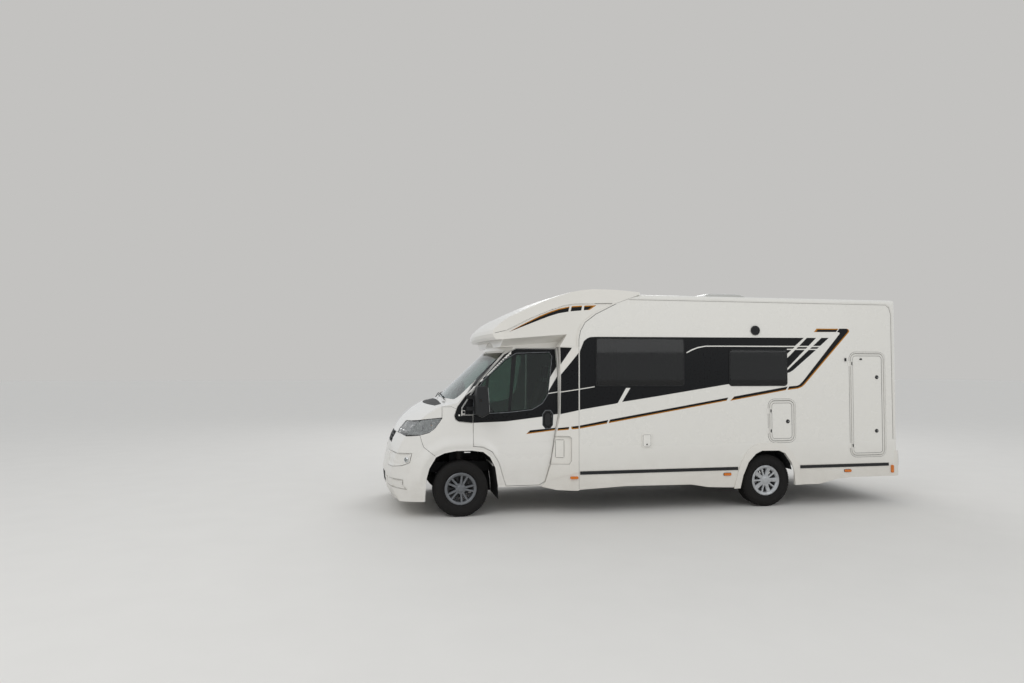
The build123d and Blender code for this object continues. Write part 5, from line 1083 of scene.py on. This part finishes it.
# corners of a block, as shares of a pitch round the tyre and of its half-width across
TREAD_BLOCK = ((0.06, -1), (0.86, -1), (1.0, 1), (0.2, 1))
for corner, behind, y in WHEELS:
    centre = spot(behind, y, TYRE_R)
    outboard = math.copysign(1, y)
    body = f"{corner}_wheel"
    bm = bmesh.new()
    section = [(-a, r) for a, r in CARCASS_HALF] + [(a, r) for a, r in reversed(CARCASS_HALF)]
    rings = turned(bm, section, centre, (0, outboard, 0), TYRE_STEPS, Vector((1, 0, 0)))
    for i in range(TYRE_STEPS):
        j = (i + 1) % TYRE_STEPS
        bm.faces.new((rings[-1][i], rings[-1][j], rings[0][j], rings[0][i]))
    for middle, half, phase in TREAD_RIBS:
        for pitch in range(TREAD_PITCHES):
            corners = []
            for radius in (TYRE_R - TREAD_DEPTH - 2, TYRE_R - abs(middle) * TREAD_CROWN):
                for along, across in TREAD_BLOCK:
                    angle = 2 * math.pi * (pitch + phase + along) / TREAD_PITCHES
                    corners.append(bm.verts.new(centre + Vector((
                        math.cos(angle) * radius, outboard * (middle + across * half),
                        math.sin(angle) * radius)) / 1000))
            foot, head = corners[:4], corners[4:]
            bm.faces.new(head)
            for i in range(4):
                j = (i + 1) % 4
                bm.faces.new((foot[i], foot[j], head[j], head[i]))
    bmesh.ops.recalc_face_normals(bm, faces=bm.faces)
    tyre = add_piece(f"{corner}_tread_tyre", bm, tyre_rubber, body, smooth=30)
    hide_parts(f"{corner}_tyre")

# Rims and wheel trims: black steel rims under snap-on ABS trims, painted dark silver with paired
# spokes at the front and bright silver with wide and narrow spokes at the rear.
# Enamelled steel is a glossy black; the trims are lacquered metallic paint.
black_rim_enamel = moulded_plastic("black_rim_enamel", "#17181A", 0.45, 4.0, 0.05)
dark_silver = moulded_plastic("dark_silver_trim_paint", "#6A6C6F", 0.34, 1.5, 0.02, 0.55)
bright_silver = moulded_plastic("bright_silver_trim_paint", "#A9ABAD", 0.32, 1.5, 0.02, 0.55)
# radius and distance from the wheel's middle
TRIM_CROWN = ((0, 86), (34, 86), (40, 82), (58, 80), (110, 77), (160, 83), (178, 91), (190, 93),
              (197, 88))
TRIM_RADII = [2, 12, 22, 30, 34, 37, 40, 44, 50, 56] + [60 + 4 * i for i in range(27)] + [
    167, 170, 174, 178, 184, 190, 194, 197]
TRIM_STEPS = 300
TRIM_DEPTH = 13
SPOKE_SLOPE, SPOKE_CROWN, CROWN_WIDTH = 3.5, 1.5, 8
FRONT_RING, REAR_RING = (60, 164), (66, 160)
# angle of each spoke in degrees, half-width at the hub and at the ring
FRONT_SPOKES = [(72 * i + turn, 12, 9.5) for i in range(5) for turn in (-12.5, 12.5)]
REAR_SPOKES = [(72 * i, 22, 25) for i in range(5)] + [(72 * i + 36, 10, 9) for i in range(5)]


def crown_at(radius):
    """Distance of the trim's face from the wheel's middle."""
    for (r1, a1), (r2, a2) in zip(TRIM_CROWN, TRIM_CROWN[1:]):
        if r1 <= radius <= r2:
            return a1 + (a2 - a1) * (radius - r1) / (r2 - r1)
    return TRIM_CROWN[-1][1]


for corner, behind, y in WHEELS:
    dress(f"{corner}_rim", black_rim_enamel)
    at_front = corner.startswith("front")
    spokes = FRONT_SPOKES if at_front else REAR_SPOKES
    ring_inner, ring_outer = FRONT_RING if at_front else REAR_RING
    centre = spot(behind, y, TYRE_R)
    outboard = math.copysign(1, y)
    bm = bmesh.new()
    rings = []
    for radius in TRIM_RADII:
        ring = []
        for step in range(TRIM_STEPS):
            angle = 360 * step / TRIM_STEPS
            height = crown_at(radius)
            if ring_inner < radius < ring_outer:
                gap = min(radius - ring_inner, ring_outer - radius) - 2
                for turn, hub_half, ring_half in spokes:
                    share = (radius - ring_inner) / (ring_outer - ring_inner)
                    half = hub_half + (ring_half - hub_half) * share
                    off = abs((angle - turn + 180) % 360 - 180)
                    if off < 60:
                        gap = min(gap, radius * math.sin(math.radians(off)) - half)
                height -= TRIM_DEPTH * max(0.0, min(1.0, gap / SPOKE_SLOPE))
                height += SPOKE_CROWN * max(0.0, min(1.0, -gap / CROWN_WIDTH))
            if at_front and 40 < radius < 58 and abs((angle + 36) % 72 - 36) / 36 < 0.42:
                height -= 4  # five pits round the cap
            if not at_front and 166 < radius < 184 and abs((angle - 18) % 36 - 18) / 18 > 0.72:
                height += 4  # ten raised pads on the ring
            out = Vector((math.cos(math.radians(angle)), 0, math.sin(math.radians(angle))))
            face = out * radius + Vector((0, outboard * height, 0))
            ring.append((bm.verts.new(centre + face / 1000),
                         crown_at(radius) - height > TRIM_DEPTH - 0.5))
        rings.append(ring)
    for first, second in zip(rings, rings[1:]):
        for i in range(TRIM_STEPS):
            j = (i + 1) % TRIM_STEPS
            corners = (first[i], first[j], second[j], second[i])
            if not all(deep for _, deep in corners):
                bm.faces.new([vertex for vertex, _ in corners])
    bm.faces.new([vertex for vertex, _ in rings[0]])
    bmesh.ops.delete(bm, geom=[v for v in bm.verts if not v.link_faces], context="VERTS")
    bmesh.ops.recalc_face_normals(bm, faces=bm.faces)
    trim = add_piece(f"{corner}_wheel_trim", bm, dark_silver if at_front else bright_silver,
                     f"{corner}_wheel", smooth=40)

# Running gear, frame, liners, tanks and exhaust: painted, cast, moulded and aluminised pieces that
# show from below and through the arches.
# Chassis paint is thick and uneven; cast iron keeps the grain of its sand mould.
chassis_black = moulded_plastic("black_chassis_paint", "#1A1A1B", 0.5, 6.0, 0.2)
cast_iron = moulded_plastic("sand_cast_iron", "#3B3836", 0.7, 2.5, 0.4, 0.3)
for node in ("chassis_frame", "front_suspension", "rear_axle"):
    dress(node, chassis_black, 3)
for node in ("left_knuckle", "right_knuckle", "engine_block"):
    dress(node, cast_iron)
# Needled felt swallows the light in the arches.
liner_felt = moulded_plastic("black_liner_felt", "#161616", 0.9, 3.0, 0.5)
dress("wheel_arch_liners", liner_felt)
LINER_LINE = (
    (-437, 260), (-419, 463), (-383, 600), (-302, 733), (-199, 781), (-53, 805), (131, 805),
    (271, 785), (356, 719), (421, 591), (455, 367), (463, 200),
)
LINER_RIM = [(-120, 798), (230, 786), (230, 846), (-120, 852)]
SPLASH_APRON = [(300, 210), (460, 210), (452, 367), (418, 588), (354, 716), (300, 742)]
for side, name in SIDE_NAMES.items():
    for part, outline, near, far in (("liner_skin", ribbon(LINER_LINE, 3), 400, 1004),
                                     ("liner_rim", LINER_RIM, 985, 1000),
                                     ("splash_apron", SPLASH_APRON, 396, 400)):
        side_plate(f"{name}_front_{part}", liner_felt, "vehicle", side, outline, near, far, 0)
tank_polyethylene = moulded_plastic("black_rotomoulded_polyethylene", "#1E1F20", 0.6, 4.0, 0.3)
aluminised_steel = moulded_plastic("aluminised_exhaust_steel", "#8A8783", 0.5, 5.0, 0.15, 0.8)
sealed_plywood = moulded_plastic("grey_sealed_plywood", "#5D5A55", 0.7, 8.0, 0.3)
dress("underfloor_tanks", tank_polyethylene, 12)
dress("exhaust", aluminised_steel)
dress("floor_panel", sealed_plywood)

# Roof fittings: an opening roof light and two vents with domed covers of opal acrylic in white
# frames, hinged at one edge.
# Opal acrylic lets soft light through and hides what is under it.
opal_acrylic, shader, place = new_material("opal_acrylic", Transmission_Weight=0.25, IOR=1.49,
                                           Roughness=0.25)
haze = add_node(opal_acrylic, "TexNoise", Scale=6.0, Detail=3.0, Vector=place).outputs[0]
tint = add_node(opal_acrylic, "Mix", data_type="RGBA", input0=haze, input6=to_linear("#D9D8D3"),
                input7=to_linear("#C9C8C2")).outputs[2]
feed(opal_acrylic, shader, Base_Color=tint)
ROOF_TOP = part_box("roof_vents")[0][2] * 1000
# name, behind the axle, across, half-width, height
ROOF_FITTINGS = (("roof_light", 3840, -100, 350, 118), ("front_vent", 2500, 350, 200, 80),
                 ("rear_vent", 5000, 200, 200, 80))
DOME_CELLS, DOME_FOOT, DOME_INSET, DOME_WALL = 24, 20, 10, 0.004
for name, behind, y, half, tall in ROOF_FITTINGS:
    limits = (behind - half, behind + half, y - half, y + half)
    ring = slab(f"{name}_frame", white_abs, "vehicle", rounded(limits, 60), ROOF_TOP, ROOF_TOP + 26,
                "roof", 6, rounded(limits, 60, -36))
    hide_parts("roof_vents")
    bm = bmesh.new()
    grid = {}
    reach_out = half - DOME_INSET
    for i in range(DOME_CELLS + 1):
        for j in range(DOME_CELLS + 1):
            u, v = 2 * i / DOME_CELLS - 1, 2 * j / DOME_CELLS - 1
            rise = (max(0.0, 1 - u ** 6) * max(0.0, 1 - v ** 6)) ** 0.5
            grid[i, j] = bm.verts.new(spot(behind + u * reach_out, y + v * reach_out,
                                           ROOF_TOP + DOME_FOOT + (tall - DOME_FOOT) * rise))
    for i in range(DOME_CELLS):
        for j in range(DOME_CELLS):
            bm.faces.new((grid[i, j], grid[i + 1, j], grid[i + 1, j + 1], grid[i, j + 1]))
    dome = add_piece(f"{name}_dome", bm, opal_acrylic, "vehicle", smooth=50)
    thick = dome.modifiers.new("wall", "SOLIDIFY")
    thick.thickness = DOME_WALL
    thick.offset = -1
    for share in (-0.5, 0.5):
        middle = y + share * half
        limits = (behind - half - 2, behind - half + 30, middle - 20, middle + 20)
        slab(f"{name}_hinge_{'a' if share < 0 else 'b'}", white_abs, "vehicle",
             box_outline(limits), ROOF_TOP + 10, ROOF_TOP + 34, "roof", 4)

# Rear lamps: clusters of three chambers, red over amber and clear, in black bases in the bumper; a
# blank number plate between them, two small plate lamps and a high-level brake lamp.
REAR_WALL_X = 5990
REAR_X = REAR_WALL_X + 52  # rear face of the bumper
LAMP_CHAMBERS = (("tail", red_lens, 706, 846), ("turn", amber_lens, 852, 962),
                 ("reverse", clear_lens, 968, 1074))
dress("rear_lamps", black_grained_plastic)
for side, name in SIDE_NAMES.items():
    for part, material, low, high in LAMP_CHAMBERS:
        limits = (min(side * low, side * high), max(side * low, side * high), 486, 654)
        slab(f"{name}_{part}_lens", material, "vehicle", rounded(limits, 12), REAR_X - 4,
             REAR_X + 4, "rear", 3)
    for part, material, middle, half, low, high, corner, near, far in (
            ("plate_lamp", black_grained_plastic, 120, 35, 626, 644, 6, REAR_X, REAR_X + 14),
            ("outline_lamp", red_lens, 1010, 45, 2588, 2612, 8, REAR_WALL_X, REAR_WALL_X + 16)):
        limits = (side * middle - half, side * middle + half, low, high)
        slab(f"{name}_{part}", material, "vehicle", rounded(limits, corner), near, far, "rear", 3)
# Enamelled sheet with a smooth, even gloss.
plate_enamel = moulded_plastic("white_plate_enamel", "#E4E4E0", 0.3, 2.0, 0.03)
for piece, material, outline, near, far, edge_mm, hole in (
        ("number_plate", plate_enamel, rounded((-260, 260, 500, 612), 8), REAR_X, REAR_X + 2, 0.8,
         None),
        ("number_plate_frame", black_grained_plastic, rounded((-270, 270, 490, 622), 10), REAR_X,
         REAR_X + 5, 1.5, rounded((-257, 257, 503, 609), 8)),
        ("high_brake_lamp", red_lens, rounded((-180, 180, 2560, 2590), 10), REAR_WALL_X,
         REAR_WALL_X + 13, 3, None),
        ("rear_wall_joint", grey_sealer_and_shade, box_outline((-1075, 1075, 699, 704)), REAR_WALL_X,
         REAR_WALL_X + 1.5, 0, None)):
    slab(piece, material, "vehicle", outline, near, far, "rear", edge_mm, hole)

# Bicycle carrier: a frame of bent aluminium tube and two trays, brushed and anodised, bolted to
# the rear wall. Black plastic caps close the tube ends.
# Anodising leaves a satin grey metal.
anodised = moulded_plastic("anodised_aluminium", "#9FA1A3", 0.35, 5.0, 0.03, 0.85)
dress("bike_carrier_frame", anodised)
dress("bike_carrier_platform", anodised, 2)
for side, name in SIDE_NAMES.items():
    for height, way in ((1100, -1), (2080, 1)):
        turned_piece(f"carrier_cap_{name}_{height}", black_grained_plastic, "vehicle",
                     ((-22, 17.5), (2, 17.5), (8, 14), (10, 0)), spot(6052, side * 330, height),
                     (0, 0, way), 24)

# Cab interior: a dashboard with a hooded binnacle, a radio panel and four round vents, and a
# steering wheel, all covered in grained dark polyurethane.
# Slush-moulded skin: soft grain, no shine.
dash_plastic = moulded_plastic("dark_grey_soft_polyurethane", "#3A3B3C", 0.6, 3.0, 0.2)
dress("dashboard", dash_plastic, 14)
dress("steering_wheel", dash_plastic)
BINNACLE = [(70, 1292), (235, 1262), (262, 1330), (200, 1352), (90, 1345)]
RADIO_PANEL = [(340, 1000), (352, 1000), (372, 1140), (352, 1148)]
slab("binnacle_hood", dash_plastic, "vehicle", BINNACLE, -600, -260, edge_mm=12)
slab("radio_panel", black_grained_plastic, "vehicle", RADIO_PANEL, -110, 110, edge_mm=3)
for number, y in enumerate((-820, -200, 200, 820)):
    turned_piece(f"dash_vent_{number}", black_grained_plastic, "vehicle",
                 ((-6, 44), (6, 44), (9, 38), (3, 34), (3, 0)), spot(300, y, 1215),
                 (0.85, 0, 0.5), 32)

# Cab seats: moulded foam cushions, backs and head restraints in woven cloth with piped seams, on
# steel pedestals. The foam swells inside its cover, which is worked out by a cloth simulation.
# Flat-woven wool blend with a slight bloom; the piping is lighter.
seat_cloth = woven_cloth("grey_seat_cloth", "#55534F", "#44423F", 3.0, 0.3)
seat_piping = woven_cloth("light_seat_piping", "#8E8A80", "#7B776E", 2.0, 0.3)
# name, outline from the side, half-width, how full the cover is
SEAT_PADS = (
    ("cushion", ((728, 1000), (750, 955), (1225, 920), (1268, 985), (1240, 1070), (765, 1085),
                 (732, 1060)), 240, 0.7),
    ("back", ((1222, 1025), (1288, 1002), (1426, 1560), (1406, 1622), (1352, 1624), (1186, 1090)),
     225, 0.7),
    ("head_rest", ((1374, 1668), (1424, 1664), (1452, 1822), (1426, 1852), (1392, 1840)), 118, 0.8),
)
PIPING_LINES = {"cushion": ((745, 1098), (1236, 1082)), "back": ((1180, 1108), (1346, 1636))}
PAD_VOXEL = 0.009
PAD_BEVEL = 0.022
PAD_CAP = 0.010  # a point of the cover moves no further than this
PAD_PRESSURE = 4.0
PAD_FRAMES = 20
SEAT_Y = (-490, 490)


def swollen(piece):
    """Lets a closed cover swell under pressure, with each point held within the cap."""
    scene = bpy.context.scene
    bpy.context.view_layer.objects.active = piece
    remesh = piece.modifiers.new("even_mesh", "REMESH")
    remesh.mode = "VOXEL"
    remesh.voxel_size = PAD_VOXEL
    graph = bpy.context.evaluated_depsgraph_get()
    even = bpy.data.meshes.new_from_object(piece.evaluated_get(graph))
    piece.modifiers.clear()
    piece.data = even
    rest = [v.co.copy() for v in even.vertices]
    cloth = piece.modifiers.new("cover", "CLOTH")
    cloth.settings.use_pressure = True
    cloth.settings.uniform_pressure_force = PAD_PRESSURE
    cloth.settings.effector_weights.gravity = 0.0
    cloth.point_cache.frame_start, cloth.point_cache.frame_end = 1, PAD_FRAMES
    for number in range(1, PAD_FRAMES + 1):
        scene.frame_set(number)
    graph = bpy.context.evaluated_depsgraph_get()
    moved = [v.co.copy() for v in piece.evaluated_get(graph).data.vertices]
    piece.modifiers.clear()
    scene.frame_set(1)
    for vertex, start, end in zip(even.vertices, rest, moved):
        way = end - start
        vertex.co = start + way * min(1.0, PAD_CAP / max(way.length, 1e-9))
    return piece


for pad, outline, half, fill in SEAT_PADS:
    bm = bmesh.new()
    rows = [[bm.verts.new(spot(x, SEAT_Y[0] + y, z)) for x, z in outline] for y in (-half, half)]
    for row in rows:
        bm.faces.new(row)
    for i in range(len(outline)):
        j = (i + 1) % len(outline)
        bm.faces.new((rows[0][i], rows[0][j], rows[1][j], rows[1][i]))
    bmesh.ops.recalc_face_normals(bm, faces=bm.faces)
    bmesh.ops.bevel(bm, geom=bm.edges[:], offset=PAD_BEVEL, segments=3, affect="EDGES",
                    profile=0.5)
    driver = swollen(add_piece(f"driver_seat_{pad}", bm, seat_cloth, "vehicle", smooth=60))
    driver.data.materials.clear()
    driver.data.materials.append(seat_cloth)
    driver.data.polygons.foreach_set("use_smooth", [True] * len(driver.data.polygons))
    mesh = driver.data.copy()
    mesh.transform(Matrix.Translation((0, (SEAT_Y[1] - SEAT_Y[0]) / 1000, 0)))
    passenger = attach(hang(f"passenger_seat_{pad}", mesh), "vehicle")
    for seat in (driver, passenger):
        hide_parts("cab_seats")
for y, name in zip(SEAT_Y, ("driver", "passenger")):
    slab(f"{name}_seat_pedestal", chassis_black, "vehicle",
         box_outline((850, 1150, 640, 930)), y - 180, y + 180, edge_mm=8)
    for post in (-60, 60):
        bar(f"{name}_head_post_{'a' if post < 0 else 'b'}", chrome, "vehicle",
            [spot(1380, y + post, 1590), spot(1402, y + post, 1690)], 6)
    for part, line in PIPING_LINES.items():
        for seam in (-130, 130):
            bar(f"{name}_{part}_piping_{'a' if seam < 0 else 'b'}", seat_piping, "vehicle",
                [spot(x, y + seam, z) for x, z in line], 3.5)

# Studio: a pale floor under a plain grey backdrop, a soft sky and three large lamps, and the
# camera where the photograph was taken from.
FLOOR_HALF = 80
# Matt painted board, almost even.
floor_material, shader, place = new_material("pale_studio_floor", Roughness=0.9)
cloud = add_node(floor_material, "TexNoise", Scale=2.0, Detail=3.0, Vector=place).outputs[0]
tint = add_node(floor_material, "Mix", data_type="RGBA", input0=cloud, input6=to_linear("#DDDBD7"),
                input7=to_linear("#E2E0DC")).outputs[2]
feed(floor_material, shader, Base_Color=tint)
bm = bmesh.new()
bmesh.ops.create_grid(bm, x_segments=2, y_segments=2, size=FLOOR_HALF)
floor_mesh = bpy.data.meshes.new("studio_floor")
bm.to_mesh(floor_mesh)
bm.free()
floor_mesh.materials.append(floor_material)
hang("studio_floor", floor_mesh)

world = bpy.data.worlds.new("studio")
bpy.context.scene.world = world
world.use_nodes = True
world.node_tree.nodes.clear()
soft_light = add_node(world, "Background", Color=to_linear("#F4F6F8"), Strength=0.78)
backdrop = add_node(world, "Background", Color=to_linear("#C3C2C0"), Strength=1.0)
rays = add_node(world, "LightPath")
seen = add_node(world, "Math", operation="MAXIMUM", input0=rays.outputs["Is Camera Ray"],
                input1=rays.outputs["Is Transmission Ray"]).outputs[0]
add_node(world, "OutputWorld", Surface=add_node(
    world, "MixShader", input0=seen, input1=soft_light.outputs[0],
    input2=backdrop.outputs[0]).outputs[0])

for name, position, target, size, power in (
        ("key_lamp", (-9, -9, 9), (0, -1, 1), 6, 300),
        ("fill_lamp", (6, -12, 6), (1, -1, 1), 8, 130),
        ("back_lamp", (2, 9, 8), (0, 0, 1.5), 6, 260)):
    lamp_data = bpy.data.lights.new(name, "AREA")
    lamp_data.size = size
    lamp_data.energy = power
    lamp = hang(name, lamp_data)
    lamp.location = position
    way = Vector(target) - Vector(position)
    lamp.rotation_euler = way.to_track_quat("-Z", "Y").to_euler()

# found from level, upright and known edges of the vehicle in the photograph
CAMERA_PLACE = (-3.7249, -9.3635, 1.8416)
FOCAL_PIXELS, PHOTO_WIDTH, SENSOR_WIDTH = 683, 1024, 36
YAW, PITCH, ROLL = 0.189971, 0.036076, 0.0019677
forward = Vector((math.sin(YAW) * math.cos(PITCH), math.cos(YAW) * math.cos(PITCH),
                  math.sin(PITCH)))
level = Vector((math.cos(YAW), -math.sin(YAW), 0))
upward = level.cross(forward)
right = level * math.cos(ROLL) + upward * math.sin(ROLL)
up = upward * math.cos(ROLL) - level * math.sin(ROLL)
camera_data = bpy.data.cameras.new("camera")
camera_data.sensor_width = SENSOR_WIDTH
camera_data.lens = FOCAL_PIXELS * SENSOR_WIDTH / PHOTO_WIDTH
camera_data.clip_end = 300
camera = hang("camera", camera_data)
turn = Matrix((right, up, -forward)).transposed().to_4x4()
camera.matrix_world = Matrix.Translation(CAMERA_PLACE) @ turn
bpy.context.scene.camera = camera
bpy.context.scene.view_settings.view_transform = "Standard"
